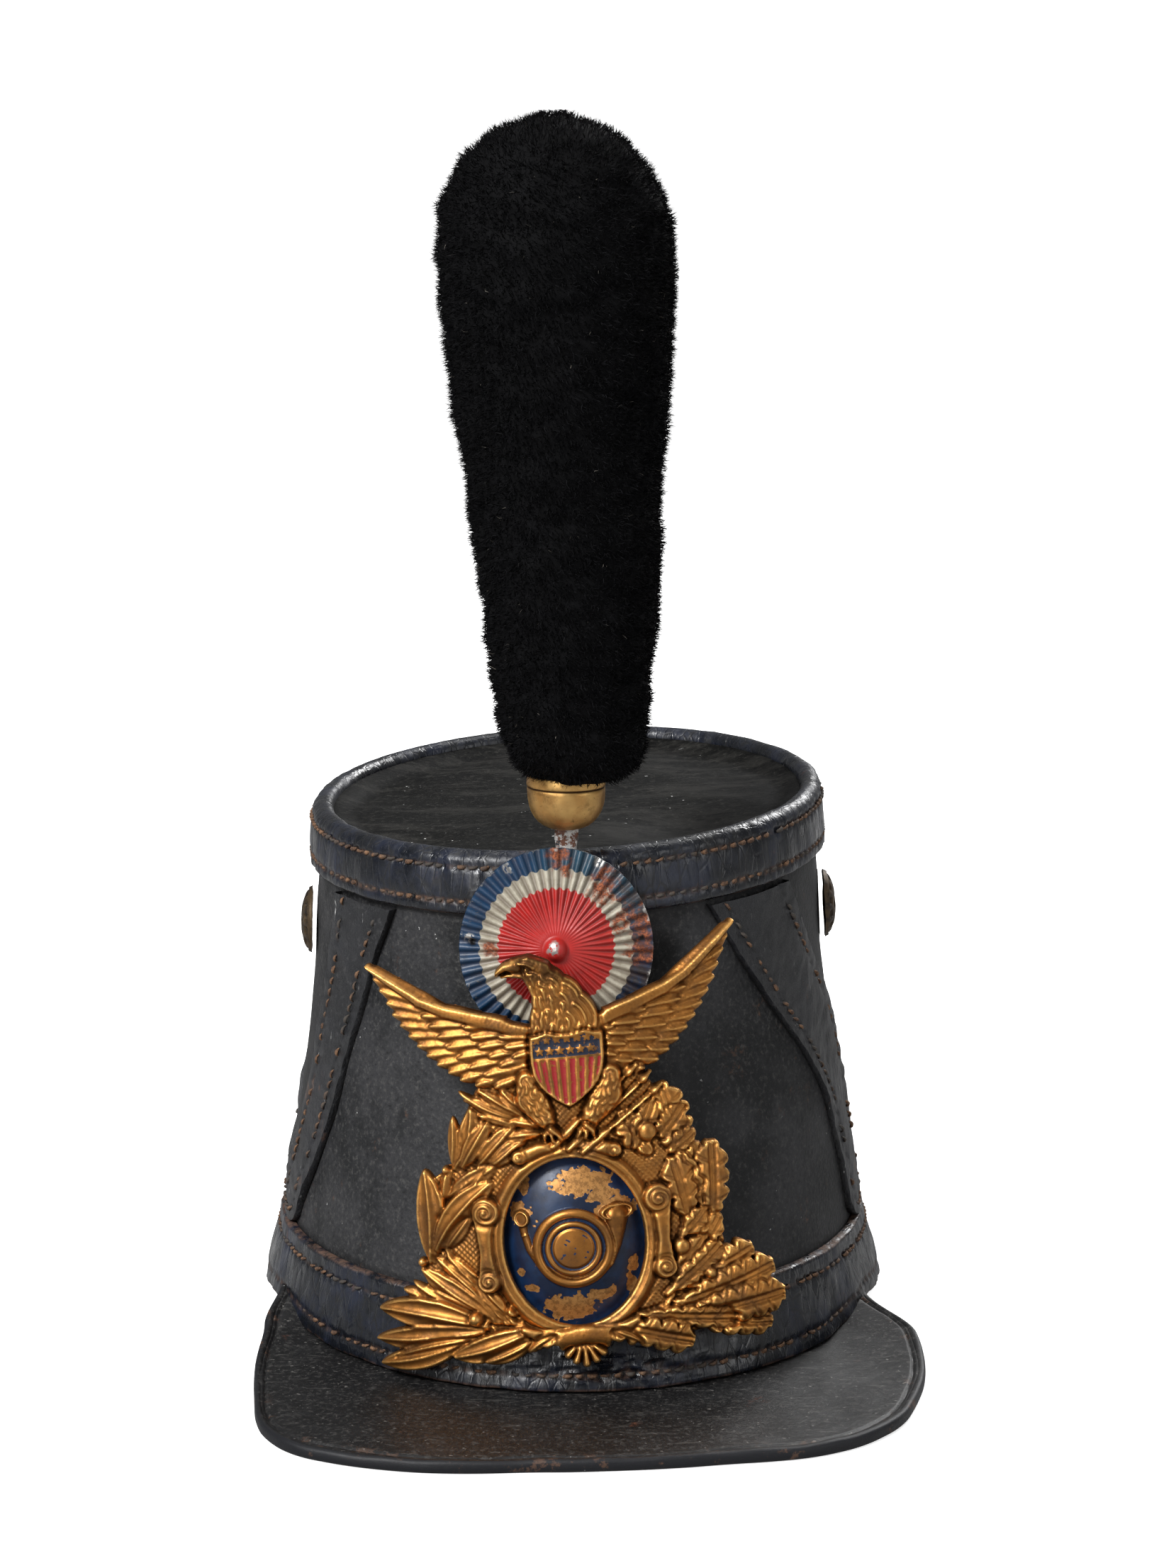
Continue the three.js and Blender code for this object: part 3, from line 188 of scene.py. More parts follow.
def piece(name, points, faces, finish, stands_for=(), marks=None, crease=50):
    """Mesh object from points in the hat's millimetres, riding on the hat."""
    mesh = bpy.data.meshes.new(name)
    points = (np.asarray(points, float).reshape(-1, 3) + SHIFT) * MM
    groups = faces if isinstance(faces, list) else [faces]
    mesh.vertices.add(len(points))
    mesh.vertices.foreach_set("co", points.astype(np.float32).ravel())
    corners = np.concatenate([group.ravel() for group in groups])
    sizes = np.concatenate([np.full(len(group), group.shape[1]) for group in groups])
    mesh.loops.add(len(corners))
    mesh.loops.foreach_set("vertex_index", corners.astype(np.int32))
    mesh.polygons.add(len(sizes))
    mesh.polygons.foreach_set("loop_start", (np.cumsum(sizes) - sizes).astype(np.int32))
    mesh.update(calc_edges=True)
    mesh.validate()
    mesh.shade_smooth()
    if crease:
        mesh.set_sharp_from_angle(angle=math.radians(crease))
    for mark, values in (marks or {}).items():
        layer = mesh.attributes.new(mark, "FLOAT", "POINT")
        layer.data.foreach_set("value", np.asarray(values, np.float32).ravel())
    made = bpy.data.objects.new(name, mesh)
    bpy.context.scene.collection.objects.link(made)
    mesh.materials.append(finish)
    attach(made, "root")
    if stands_for:
        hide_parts(*stands_for)


class Wire:
    """One socket of a material; arithmetic on it adds Math nodes."""

    def __init__(self, tree, socket=None):
        self.tree = tree
        self.socket = socket

    def node(self, kind, settings=None, sockets=None, out=0):
        """Any other node: its type, its settings, then the values or links of its sockets."""
        made = self.tree.nodes.new(kind)
        for name, value in (settings or {}).items():
            setattr(made, name, value)
        for key, value in (sockets or {}).items():
            if isinstance(value, Wire):
                self.tree.links.new(value.socket, made.inputs[key])
            else:
                made.inputs[key].default_value = value
        return Wire(self.tree, made.outputs[out])

    def math(self, operation, other):
        return self.node("ShaderNodeMath", {"operation": operation}, {0: self, 1: other})

    def __add__(self, other):
        return self.math("ADD", other)

    def __mul__(self, other):
        return self.math("MULTIPLY", other)

    def __sub__(self, other):
        return self.math("SUBTRACT", other)

    def __rsub__(self, other):
        return self.node("ShaderNodeMath", {"operation": "SUBTRACT"}, {0: other, 1: self})

    __radd__ = __add__
    __rmul__ = __mul__

    def step(self, low, high):
        """0 below low, 1 above high, and smooth between."""
        return self.node("ShaderNodeMapRange", {"interpolation_type": "SMOOTHSTEP"},
                         {"Value": self, "From Min": low, "From Max": high})

    def mark(self, name):
        return self.node("ShaderNodeAttribute", {"attribute_name": name}, out="Fac")

    def place(self):
        return self.node("ShaderNodeTexCoord", out="Object")

    def stretched(self, x, y, z):
        return self.node("ShaderNodeMapping", {}, {"Vector": self.place(), "Scale": (x, y, z)})

    def noise(self, size, detail=3.0, roughness=0.55, where=None):
        """Noise whose lumps are about size millimetres."""
        return self.node("ShaderNodeTexNoise", {}, {
            "Vector": where or self.place(), "Scale": 1 / (size * MM), "Detail": detail,
            "Roughness": roughness})

    def cells(self, size, feature, where=None):
        """Cells about size millimetres across."""
        return self.node("ShaderNodeTexVoronoi", {"feature": feature}, {
            "Vector": where or self.place(), "Scale": 1 / (size * MM)})

    def blend(self, below, above):
        """Colour above over colour below, where this value is 1."""
        return self.node("ShaderNodeMix", {"data_type": "RGBA"},
                         {0: self, 6: below, 7: above}, out=2)

    def bump(self, strength, distance, height, under=None):
        """Bump of a height, its distance in millimetres."""
        sockets = {"Strength": strength, "Distance": distance * MM, "Height": height}
        if under is not None:
            sockets["Normal"] = under
        return self.node("ShaderNodeBump", {}, sockets)


def colour(red, green, blue):
    """Linear colour from screen values of 0 to 255."""
    def linear(value):
        share = value / 255
        return share / 12.92 if share <= 0.04045 else ((share + 0.055) / 1.055) ** 2.4
    return (linear(red), linear(green), linear(blue), 1.0)


def finish(name, paint):
    """Material whose surface a paint function builds."""
    made = bpy.data.materials.new(name)
    made.use_nodes = True
    made.node_tree.nodes.clear()
    start = Wire(made.node_tree)
    output = made.node_tree.nodes.new("ShaderNodeOutputMaterial")
    made.node_tree.links.new(paint(start).socket, output.inputs["Surface"])
    return made


def principled(start, **values):
    """Principled surface; a value's name is its socket's, with underscores."""
    names = {key.replace("_", " ").title().replace("Ior", "IOR"): value
             for key, value in values.items()}
    return start.node("ShaderNodeBsdfPrincipled", {}, names)


# Camera at the photograph's angle, over the middle of the rim's oval
CAMERA_ELEVATION = 11.86
CAMERA_DISTANCE = 1000.0
CAMERA_TARGET_HEIGHT = 120.0
FOCAL_PIXELS = 5079.85
IMAGE_HEIGHT = 2212
AXIS_ACROSS, AXIS_DOWN = -20.98, 118.76
SENSOR = 36.0

# Studio, in metres and watts: the floor and the wall it sweeps up into, and for each light
# its place, size and power
FLOOR_REACH = 2.6
WALL_BEND = 0.9
WALL_TOP = 3.2
BACKDROP_STRENGTH = 0.3
WHITE = (1.0, 1.0, 1.0, 1.0)
LIT_POINT = (0, 0, 0.12)
LIGHTS = {
    "key": ((-1.2, -1.4, 1.7), (0.7, 0.7), 72),
    "low": ((-0.9, -1.8, 0.5), (0.35, 1.1), 9),
    "fill": ((1.7, -1.3, 0.8), (1.2, 1.2), 8),
    "top": ((0.1, 0.4, 2.0), (1.3, 1.3), 12),
    "back": ((0.9, 1.5, 1.2), (0.8, 0.8), 22),
}


def make_camera():
    """Aims through the middle of the image, so that no lens shift is needed."""
    slope = math.radians(CAMERA_ELEVATION)
    ahead = Vector((0, math.cos(slope), -math.sin(slope)))
    right = Vector((1, 0, 0))
    up = right.cross(ahead)
    target = Vector((0, 0, CAMERA_TARGET_HEIGHT))
    place = (target - ahead * CAMERA_DISTANCE + Vector(SHIFT)) * MM
    aim = ahead - right * (AXIS_ACROSS / FOCAL_PIXELS) + up * (AXIS_DOWN / FOCAL_PIXELS)
    lens = bpy.data.cameras.new("camera")
    lens.sensor_width = SENSOR
    lens.lens = FOCAL_PIXELS * aim.length * SENSOR / IMAGE_HEIGHT
    lens.clip_start, lens.clip_end = 0.05, 30
    camera = bpy.data.objects.new("camera", lens)
    camera.location = place
    camera.rotation_euler = aim.to_track_quat("-Z", "Y").to_euler()
    bpy.context.scene.collection.objects.link(camera)
    bpy.context.scene.camera = camera


def area_light(name, place, size, power):
    light = bpy.data.lights.new(name, "AREA")
    light.shape = "RECTANGLE"
    light.size, light.size_y = size
    light.energy = power
    lamp = bpy.data.objects.new(name, light)
    lamp.location = place
    lamp.rotation_euler = (Vector(LIT_POINT) - Vector(place)).to_track_quat("-Z", "Y").to_euler()
    bpy.context.scene.collection.objects.link(lamp)


def pale_floor(start):
    """White where it is looked at, dimmer in what the hat reflects."""
    seen = principled(start, base_color=(0.86, 0.86, 0.86, 1.0), roughness=0.9,
                      emission_color=WHITE, emission_strength=0.7)
    reflected = principled(start, base_color=(0.3, 0.3, 0.3, 1.0), roughness=0.9,
                           emission_color=WHITE, emission_strength=0.05)
    looked_at = start.node("ShaderNodeLightPath", out="Is Camera Ray")
    return start.node("ShaderNodeMixShader", {}, {0: looked_at, 1: reflected, 2: seen})


def make_floor():
    """Pale round floor that sweeps up into a wall."""
    bends = np.radians(np.linspace(0, 90, 14))
    reach = np.concatenate([[0, 0.5, 1.5], FLOOR_REACH + WALL_BEND * np.sin(bends)])
    height = np.concatenate([[0, 0, 0], WALL_BEND * (1 - np.cos(bends))])
    reach, height = np.append(reach, reach[-1]), np.append(height, WALL_TOP)
    turn = np.radians(np.arange(0, 360, 5))
    points = np.stack([
        np.outer(reach, np.cos(turn)), np.outer(reach, np.sin(turn)),
        np.repeat(height[:, None], len(turn), 1)], -1).reshape(-1, 3)
    mesh = bpy.data.meshes.new("floor")
    mesh.from_pydata(points.tolist(), [], grid_faces(len(reach), len(turn), False, True).tolist())
    mesh.shade_smooth()
    floor = bpy.data.objects.new("floor", mesh)
    bpy.context.scene.collection.objects.link(floor)
    mesh.materials.append(finish("pale_floor", pale_floor))


def make_studio():
    world = bpy.data.worlds.new("studio")
    world.use_nodes = True
    backdrop = world.node_tree.nodes["Background"]
    backdrop.inputs["Color"].default_value = WHITE
    backdrop.inputs["Strength"].default_value = BACKDROP_STRENGTH
    bpy.context.scene.world = world
    make_floor()
    for name, (place, size, power) in LIGHTS.items():
        area_light(name, place, size, power)
    bpy.context.scene.view_settings.view_transform = "Standard"


make_camera()
make_studio()


# Leather finishes
BLACK_LEATHER = colour(16, 17, 19)
DUSTY_LEATHER = colour(76, 75, 73)
BLUE_BLACK = colour(9, 12, 18)
WORN_BROWN = colour(92, 66, 50)
RAW_BROWN = colour(128, 72, 44)
CHALK = colour(190, 190, 188)
# Near black: specks on the body, its dark lines along the band edges, and painted shade in the awl
# holes, the vent holes and on the strap edges
SOOT_AND_SHADE_BLACK = colour(10, 10, 11)


def grained_leather(start):
    """Body leather: fine pebbled grain, grey bloom, brown rubs and small white nicks."""
    grain = start.cells(1.2, "F1")
    fine = start.noise(1.4, 6, 0.8)
    clouds = start.noise(30, 5, 0.65)
    speck = start.noise(1.6, 2, 0.6)
    rubs = start.noise(9, 5, 0.7)
    base = clouds.step(0.4, 0.62).blend(BLACK_LEATHER, colour(42, 42, 44))
    base = (fine.step(0.5, 0.66) * 0.6).blend(base, DUSTY_LEATHER)
    base = ((1 - fine.step(0.34, 0.47)) * 0.7).blend(base, SOOT_AND_SHADE_BLACK)
    base = (rubs.step(0.6, 0.72) * speck.step(0.42, 0.62) * 0.6).blend(base, WORN_BROWN)
    nick = speck.step(0.72, 0.76) * start.noise(16, 2).step(0.54, 0.62)
    base = (nick * 0.7).blend(base, CHALK)
    base = (start.mark("seam").step(0.1, 1.0) * 0.6).blend(base, SOOT_AND_SHADE_BLACK)
    normal = start.bump(0.6, 0.22, grain, start.bump(0.5, 0.2, fine))
    return principled(start, base_color=base, roughness=0.6 + (fine - 0.5) * 0.3,
                      specular_ior_level=0.3, normal=normal)


def band_leather(start):
    """Band leather: blue black, cracked glaze, shine on the crests, brown where worn and painted
    shade in the awl holes.
    """
    along = start.stretched(1, 1, 0.35)
    cracks = start.cells(3.0, "DISTANCE_TO_EDGE", along)
    crack = 1 - cracks.step(0.0, 0.1)
    fine = start.noise(1.6, 5, 0.75)
    creases = start.noise(4.4, 4, 0.6, along)
    patches = start.noise(14, 4, 0.65)
    base = patches.step(0.4, 0.7).blend(BLUE_BLACK, colour(20, 26, 42))
    base = (fine.step(0.56, 0.7) * 0.2).blend(base, colour(66, 70, 80))
    worn = start.mark("wear").step(0.3, 1.0) * creases.step(0.38, 0.62)
    flaked = patches.step(0.62, 0.7) * creases.step(0.5, 0.62)
    base = (worn * 0.75 + flaked * 0.5).math("MINIMUM", 1.0).blend(base, WORN_BROWN)
    base = (crack * creases.step(0.42, 0.6) * 0.7).blend(base, colour(16, 15, 15))
    # Painted shade: the awl holes darkened nearly to black
    base = (start.mark("hole").step(0.2, 0.8) * 0.9).blend(base, SOOT_AND_SHADE_BLACK)
    normal = start.bump(0.8, 0.56, creases - crack * 0.14, start.bump(0.16, 0.12, fine))
    gloss = 0.16 + creases.step(0.34, 0.66) * 0.24 + patches.step(0.4, 0.6) * 0.14 + worn * 0.3
    return principled(start, base_color=base, roughness=gloss, specular_ior_level=0.55,
                      normal=normal)


def strap_leather(start):
    """Side straps: duller than the bands, scratched, with light flakes, painted shade in the holes
    and black edges that are partly painted shade.
    """
    fine = start.noise(1.6, 5, 0.75)
    creases = start.noise(4.6, 6, 0.72, start.stretched(1, 1, 0.5))
    patches = start.noise(17, 4, 0.6)
    scratch = start.noise(1.7, 3, 0.6, start.stretched(1, 1, 0.16))
    base = patches.step(0.4, 0.7).blend(colour(17, 18, 21), colour(29, 30, 34))
    base = (fine.step(0.52, 0.72) * 0.45).blend(base, colour(78, 77, 78))
    base = (patches.step(0.6, 0.68) * creases.step(0.5, 0.6) * 0.6).blend(base, WORN_BROWN)
    flake = scratch.step(0.68, 0.71) * patches.step(0.48, 0.58)
    base = (flake * 0.8).blend(base, CHALK)
    # Painted shade: the awl holes darkened nearly to black
    base = (start.mark("hole").step(0.2, 0.8) * 0.9).blend(base, SOOT_AND_SHADE_BLACK)
    # Cut edges and underside blackened: partly edge dressing, partly painted shade along the strap
    base = start.mark("edge").step(0.2, 0.9).blend(base, SOOT_AND_SHADE_BLACK)
    normal = start.bump(1.0, 1.1, creases, start.bump(0.4, 0.16, fine))
    return principled(start, base_color=base, roughness=0.3 + fine * 0.3,
                      specular_ior_level=0.5, normal=normal)


def crown_leather(start):
    """Top of the hat: brushed warm grey, rubbed in broad streaks."""
    fine = start.noise(1.8, 6, 0.8)
    streaks = start.noise(11, 6, 0.75, start.stretched(0.3, 1, 1))
    broad = start.noise(40, 3, 0.6)
    base = broad.step(0.35, 0.7).blend(colour(6, 6, 6), colour(14, 14, 13))
    base = (streaks.step(0.46, 0.6) * 0.6).blend(base, colour(42, 41, 39))
    base = (fine.step(0.5, 0.66) * 0.5).blend(base, colour(58, 57, 54))
    nick = start.noise(2.0, 2).step(0.72, 0.75) * broad.step(0.5, 0.6)
    base = (nick * 0.7).blend(base, CHALK)
    normal = start.bump(0.6, 0.8, streaks, start.bump(0.45, 0.18, fine))
    return principled(start, base_color=base, roughness=0.5 + fine * 0.25,
                      specular_ior_level=0.06, normal=normal)


def visor_leather(start):
    """Visor: dusty black, fine scratches, brown where the edge has rubbed through."""
    fine = start.noise(1.6, 6, 0.8)
    scratch = start.noise(2.0, 5, 0.75, start.stretched(0.2, 1, 1))
    fleck = start.noise(1.5, 2, 0.5)
    dust = start.noise(18, 5, 0.7)
    base = dust.step(0.4, 0.7).blend(colour(11, 11, 12), colour(25, 25, 26))
    base = (fine.step(0.5, 0.66) * 0.55).blend(base, colour(80, 78, 76))
    base = (scratch.step(0.58, 0.64) * 0.3).blend(base, colour(96, 94, 91))
    base = (fleck.step(0.68, 0.74) * 0.5).blend(base, colour(130, 128, 124))
    base = start.mark("edge").step(0.3, 0.8).blend(base, colour(14, 15, 20))
    rubbed = start.mark("wear").step(0.2, 1.0) * start.noise(6, 5, 0.7).step(0.58, 0.66)
    base = (rubbed * 0.6).blend(base, WORN_BROWN)
    brown = start.noise(13, 3, 0.6).step(0.68, 0.78) * fine.step(0.4, 0.6)
    base = (brown * 0.5).blend(base, RAW_BROWN)
    nick = start.noise(2.4, 2).step(0.74, 0.77) * dust.step(0.5, 0.6)
    base = (nick * 0.7).blend(base, CHALK)
    normal = start.bump(0.45, 0.22, fine, start.bump(0.3, 0.3, scratch))
    return principled(start, base_color=base, roughness=0.36 + fine * 0.3,
                      specular_ior_level=0.36, normal=normal)


def brown_thread(start):
    fibre = start.noise(1.2, 4, 0.75)
    base = fibre.step(0.35, 0.7).blend(colour(58, 40, 30), colour(124, 92, 66))
    base = start.noise(14, 3).step(0.46, 0.58).blend(base, colour(62, 56, 51))
    return principled(start, base_color=base, roughness=0.85,
                      normal=start.bump(0.6, 0.15, fibre))


BODY_LEATHER = finish("body_leather", grained_leather)
BAND_LEATHER = finish("band_leather", band_leather)
STRAP_LEATHER = finish("strap_leather", strap_leather)
CROWN_LEATHER = finish("crown_leather", crown_leather)
VISOR_LEATHER = finish("visor_leather", visor_leather)
THREAD = finish("thread", brown_thread)

# Stitching, and its rows on each piece. On the crown band a row has its height above the
# band's foot and how far out its thread lies
STITCH_PITCH = 3.3
STITCH_LENGTH = 2.6
STITCH_WIDTH = 0.58
CROWN_ROWS = [(3.8, 2.3), (13.2, 2.45)]
RIM_ROW = 4.2
HEAD_ROW = 21.4
HEAD_BAND_BULGE = 1.3
STRAP_ROW = 5.0


def run_along(line):
    """Distance from the start of a line to each of its points."""
    steps = np.linalg.norm(np.diff(line, axis=0), axis=1)
    return np.concatenate([[0], np.cumsum(steps)])


def stitch_places(line):
    """Middle points and directions of stitches, an even pitch apart along a line."""
    run = run_along(line)
    count = int(run[-1] // STITCH_PITCH)
    at = (np.arange(count) + 0.5) * run[-1] / count
    spot = np.stack([np.interp(at, run, line[:, k]) for k in range(3)], 1)
    ahead = np.stack([np.interp(at + 0.5, run, line[:, k]) for k in range(3)], 1)
    return spot, unit(ahead - spot + 1e-9)


def stitches(name, rows, seed, kept=0.9):
    """Short worn threads lying on the leather; a row is a line and its outward directions."""
    rng = np.random.default_rng(seed)
    ring = np.radians(np.arange(0, 360, 72))
    along = np.array([-1, -0.55, 0, 0.55, 1])
    lift = np.array([-0.5, 0.25, 0.4, 0.25, -0.5])
    girth = np.array([0.55, 0.95, 1, 0.95, 0.55])
    points, faces = [], []
    for line, normals in rows:
        spots, ahead = stitch_places(line)
        nearest = np.linspace(0, len(normals) - 1, len(spots)).round().astype(int)
        for spot, forward, normal in zip(spots, ahead, normals[nearest]):
            if rng.random() > kept:
                continue
            side = np.cross(normal, forward)
            forward = unit(forward + side * rng.normal(0.16, 0.12))
            side = np.cross(normal, forward)
            half = STITCH_LENGTH / 2 * rng.uniform(0.75, 1.1)
            width = STITCH_WIDTH * rng.uniform(0.7, 1.15)
            middle = spot + (along * half)[:, None] * forward + (lift * 0.9)[:, None] * normal
            across = np.cos(ring)[:, None] * side + np.sin(ring)[:, None] * normal * 0.8
            body = middle[:, None] + (girth * width)[:, None, None] * across
            faces.append(grid_faces(5, 5, False, True) + 25 * len(points))
            points.append(body.reshape(-1, 3))
    piece(name, np.concatenate(points), np.concatenate(faces), THREAD,
          crease=0)


def holes_passed(line):
    """Number of stitch holes passed on the way along a row."""
    run = run_along(line)
    return run / run[-1] * int(run[-1] // STITCH_PITCH)


def holes_at(turns, line):
    """The same at each turn of a closed row that starts at the front."""
    return np.interp(turns, np.linspace(0, 360, len(line)), holes_passed(line))[:, None]


def row_dip(offset, passed, depth, width=0.9):
    """Furrow along a stitch row, deeper at each hole; offset is the distance from the row."""
    return depth * hill(offset, width) * (0.6 + 0.4 * np.cos(2 * math.pi * passed))


def hole_spots(offset, passed):
    """1 in the awl holes of a stitch row, 0 between them."""
    return np.exp(-(offset / 0.6) ** 4) * smooth(1.8 * np.cos(2 * math.pi * passed) - 0.8)


def ring_line(height, out, lifted=False):
    """Closed line round the body at a height, and its outward directions."""
    turns = np.arange(0, 361.0)
    level = height + (rim_rise(turns) if lifted else 0)
    line = body_point(turns, level, out)
    return line, unit(body_point(turns, level, out + 1) - line)


def make_body():
    """Leather body, swollen and hollowed a little between the bands."""
    turns = np.arange(0, 360, 1.5)
    top = BODY_HEIGHT - SHELL_WALL / 2
    outer = np.linspace(0, 1, 84)
    inner = outer[::-4]
    share = np.concatenate([outer, inner])
    out = np.concatenate([np.zeros(len(outer)), np.full(len(inner), -SHELL_WALL)])
    turn, level = np.meshgrid(turns, share, indexing="ij")
    height = mix(rim_rise(turn), top, level)
    points = body_point(turn, height, out[None, :])
    open_part = smooth((height - BOTTOM_BAND_HEIGHT) / 12) * smooth((TOP_BAND_FOOT - height) / 12)
    swell = (wobble(points, 60, 3) * 0.5 + wobble(points, 19, 4) * 0.16) * open_part
    outwards = unit(points * [1, 1, 0])
    points = points + outwards * (swell * (out[None, :] == 0))[..., None]
    seam = np.maximum(ridge(height - BOTTOM_BAND_HEIGHT, 2.2), ridge(height - TOP_BAND_FOOT, 2.2))
    piece("leather_body", points, grid_faces(len(turns), len(share), True, True)[:, ::-1],
          BODY_LEATHER, ["shell"], {"seam": seam})


def make_crown_band():
    """Band round the crown: two stitch rows and a thick rolled edge."""
    turns = np.arange(0, 360, 0.45)
    foot = TOP_BAND_FOOT
    rise = np.linspace(0, 1, 26)
    roll = np.radians(np.linspace(0, 185, 13))[1:]
    roll_low = TOP_BAND_HEIGHT - 2.4
    flat_height = foot + rise * roll_low
    flat_out = CLEARANCE + BAND_THICKNESS * smooth(0.35 + rise * 9) + 0.35 * np.sin(rise * math.pi)
    last_out = flat_out[-1]
    roll_out = -0.5 + (last_out + 0.5) * np.cos(roll)
    roll_height = foot + roll_low + (TOP_BAND_HEIGHT + 0.9 - roll_low) * np.sin(roll)
    inside_out = np.array([-2.8, CLEARANCE, CLEARANCE])
    inside_height = np.array([BODY_HEIGHT - 2.4, BODY_HEIGHT - 2.6, foot])
    height = np.concatenate([flat_height, roll_height, inside_height])
    out = np.concatenate([flat_out, roll_out, inside_out])
    turn, level = np.meshgrid(turns, height, indexing="ij")
    outs = np.broadcast_to(out, turn.shape).copy()
    shown = np.zeros(len(height))
    shown[1:len(flat_height) + 9] = 1
    points = body_point(turn, level, outs)
    outs += wobble(points * [1, 1, 0.4], 9, 11) * 0.22 * shown
    outs += wobble(points * [1, 1, 0.25], 3.2, 12) * 0.1 * shown
    holes = np.zeros(turn.shape)
    for row, thread_out in CROWN_ROWS:
        passed = holes_at(turns, ring_line(foot + row, thread_out)[0])
        outs -= row_dip(level - foot - row, passed, 0.6) * (outs > 1)
        holes = np.maximum(holes, hole_spots(level - foot - row, passed) * (outs > 1))
    points = body_point(turn, level, outs)
    low_row, high_row = (level - foot - row for row, _ in CROWN_ROWS)
    wear = np.maximum.reduce([hill(level - foot, 0.9), 0.9 * hill(low_row, 1.2),
                              0.8 * hill(high_row, 1.0)])
    piece("crown_band", points, grid_faces(len(turns), len(height), True, True)[:, ::-1],
          BAND_LEATHER, ["top_band"], {"wear": wear, "hole": holes})


def make_crown_stitches():
    rows = [ring_line(TOP_BAND_FOOT + row, out) for row, out in CROWN_ROWS]
    stitches("crown_band_stitches", rows, 21)


def make_head_band():
    """Head band at the rim, crumpled low on the front right."""
    turns = np.arange(0, 360, 0.45)
    rise = np.concatenate([[0, 0.012], np.linspace(0.03, 0.97, 34), [0.988, 1]])
    bow = CLEARANCE + BAND_THICKNESS * (1 + 0.05 * np.sin(rise * math.pi))
    bow[[0, -1]] -= 1.1
    bow[[1, -2]] -= 0.3
    share = np.concatenate([rise, [1, 0]])
    out = np.concatenate([bow, [CLEARANCE, CLEARANCE]])
    turn, level = np.meshgrid(turns, share, indexing="ij")
    height = mix(rim_rise(turn), BOTTOM_BAND_HEIGHT, level)
    outs = np.broadcast_to(out, turn.shape).copy()
    shown = (np.arange(len(share)) < len(rise)).astype(float)
    points = body_point(turn, height, outs)
    outs += wobble(points * [1, 1, 0.5], 12, 13) * 0.25 * shown
    outs += wobble(points * [1, 1, 0.4], 3.6, 14) * 0.1 * shown
    crumple = ridge(from_front(turn) - 6, 26) * smooth((16 - height) / 6)
    crumple = crumple * smooth((height - 4.5) / 2.5)
    folds = np.abs(wobble(points * [0.6, 0.6, 2.2], 7, 15)) ** 0.7
    outs += (0.5 - folds) * 1.5 * crumple * shown
    beside = ridge(np.abs(from_front(turn)) - 82, 38)
    outs += HEAD_BAND_BULGE * beside * smooth((24 - height) / 14) * shown
    above_rim = height - rim_rise(turn)
    holes = np.zeros(turn.shape)
    for offset, row, lifted in ((above_rim - RIM_ROW, RIM_ROW, True),
                                (height - HEAD_ROW, HEAD_ROW, False)):
        passed = holes_at(turns, ring_line(row, 2.4, lifted=lifted)[0])
        outs -= row_dip(offset, passed, 0.6) * shown
        holes = np.maximum(holes, hole_spots(offset, passed) * shown)
    points = body_point(turn, height, outs)
    wear = np.maximum.reduce([
        hill(height - BOTTOM_BAND_HEIGHT, 0.8), 0.7 * hill(above_rim - RIM_ROW, 1.3),
        0.6 * hill(height - HEAD_ROW, 1.0), 0.85 * crumple * folds, 0.9 * hill(above_rim, 1.2)])
    piece("head_band", points, grid_faces(len(turns), len(share), True, True)[:, ::-1],
          BAND_LEATHER, ["bottom_band"], {"wear": wear, "hole": holes})


def make_head_stitches():
    rows = [ring_line(RIM_ROW, 2.35, lifted=True), ring_line(HEAD_ROW, 2.45)]
    stitches("head_band_stitches", rows, 22, kept=0.82)


# Dents of the crown; places and sizes are shares of its half width
CROWN_SINK = 4.0
CROWN_THICKNESS = 2.0
CROWN_DENTS = [
    (0.5, -0.5, 0.5, 0.06),
    (-0.35, 0.25, 0.5, 0.02),
    (0.3, 0.55, 0.4, -0.015),
    (-0.62, -0.5, 0.25, 0.025),
]


def make_crown_top():
    """Sunken top of the hat with its dents, as a thin sheet with an underside."""
    rings = np.concatenate([np.linspace(0, 0.9, 46), np.linspace(0.915, 1.0, 9)])
    turns = np.arange(0, 360, 2.5)
    edge = body_point(turns, BODY_HEIGHT, -SHELL_WALL - 0.1)
    middle = (body_point(0, BODY_HEIGHT) + body_point(180, BODY_HEIGHT)) / 2
    points = middle + rings[:, None, None] * (edge - middle)[None]
    across, back = points[..., 0] / (CROWN_WIDTH / 2), points[..., 1] / (CROWN_WIDTH / 2)
    reach = rings[:, None]
    sink = CROWN_SINK * (1 - smooth((reach - 0.88) / 0.12) * 0.55) + 0 * across
    for at_across, at_back, size, depth in CROWN_DENTS:
        away = np.hypot(across - at_across, back - at_back) / size
        sink = sink + smooth(1 - away) * smooth((1 - reach) / 0.12) * depth * CROWN_WIDTH / 2
    inside = smooth((0.97 - reach) / 0.1)
    sink = sink - (wobble(points, 34, 16) * 0.5 + wobble(points, 12, 17) * 0.15) * inside
    points[..., 2] -= sink
    points, faces = two_sheets(points, points - [0, 0, CROWN_THICKNESS],
                               grid_faces(len(rings), len(turns), False, True))
    piece("crown_leather_top", points, faces, CROWN_LEATHER, ["crown_top"])


# Side straps: turns of the outer and inner edge on the way down, heights as shares of the
# open stretch between the bands
STRAP_THICKNESS = 1.6
STRAP_SEAT = 0.55
STRAPS = {
    "left": (-86, [1, 0.82, 0.6, 0.38, 0.21, 0.06], [-40, -46.7, -52, -57.3, -63, -70],
             [-61, -64, -68, -71.5, -77, -83.5]),
    "right": (92, [1, 0.82, 0.66, 0.51, 0.35, 0.06], [31, 40, 49.5, 59.5, 67.5, 72.5],
              [56, 64.5, 74, 80, 84.5, 89.5]),
}


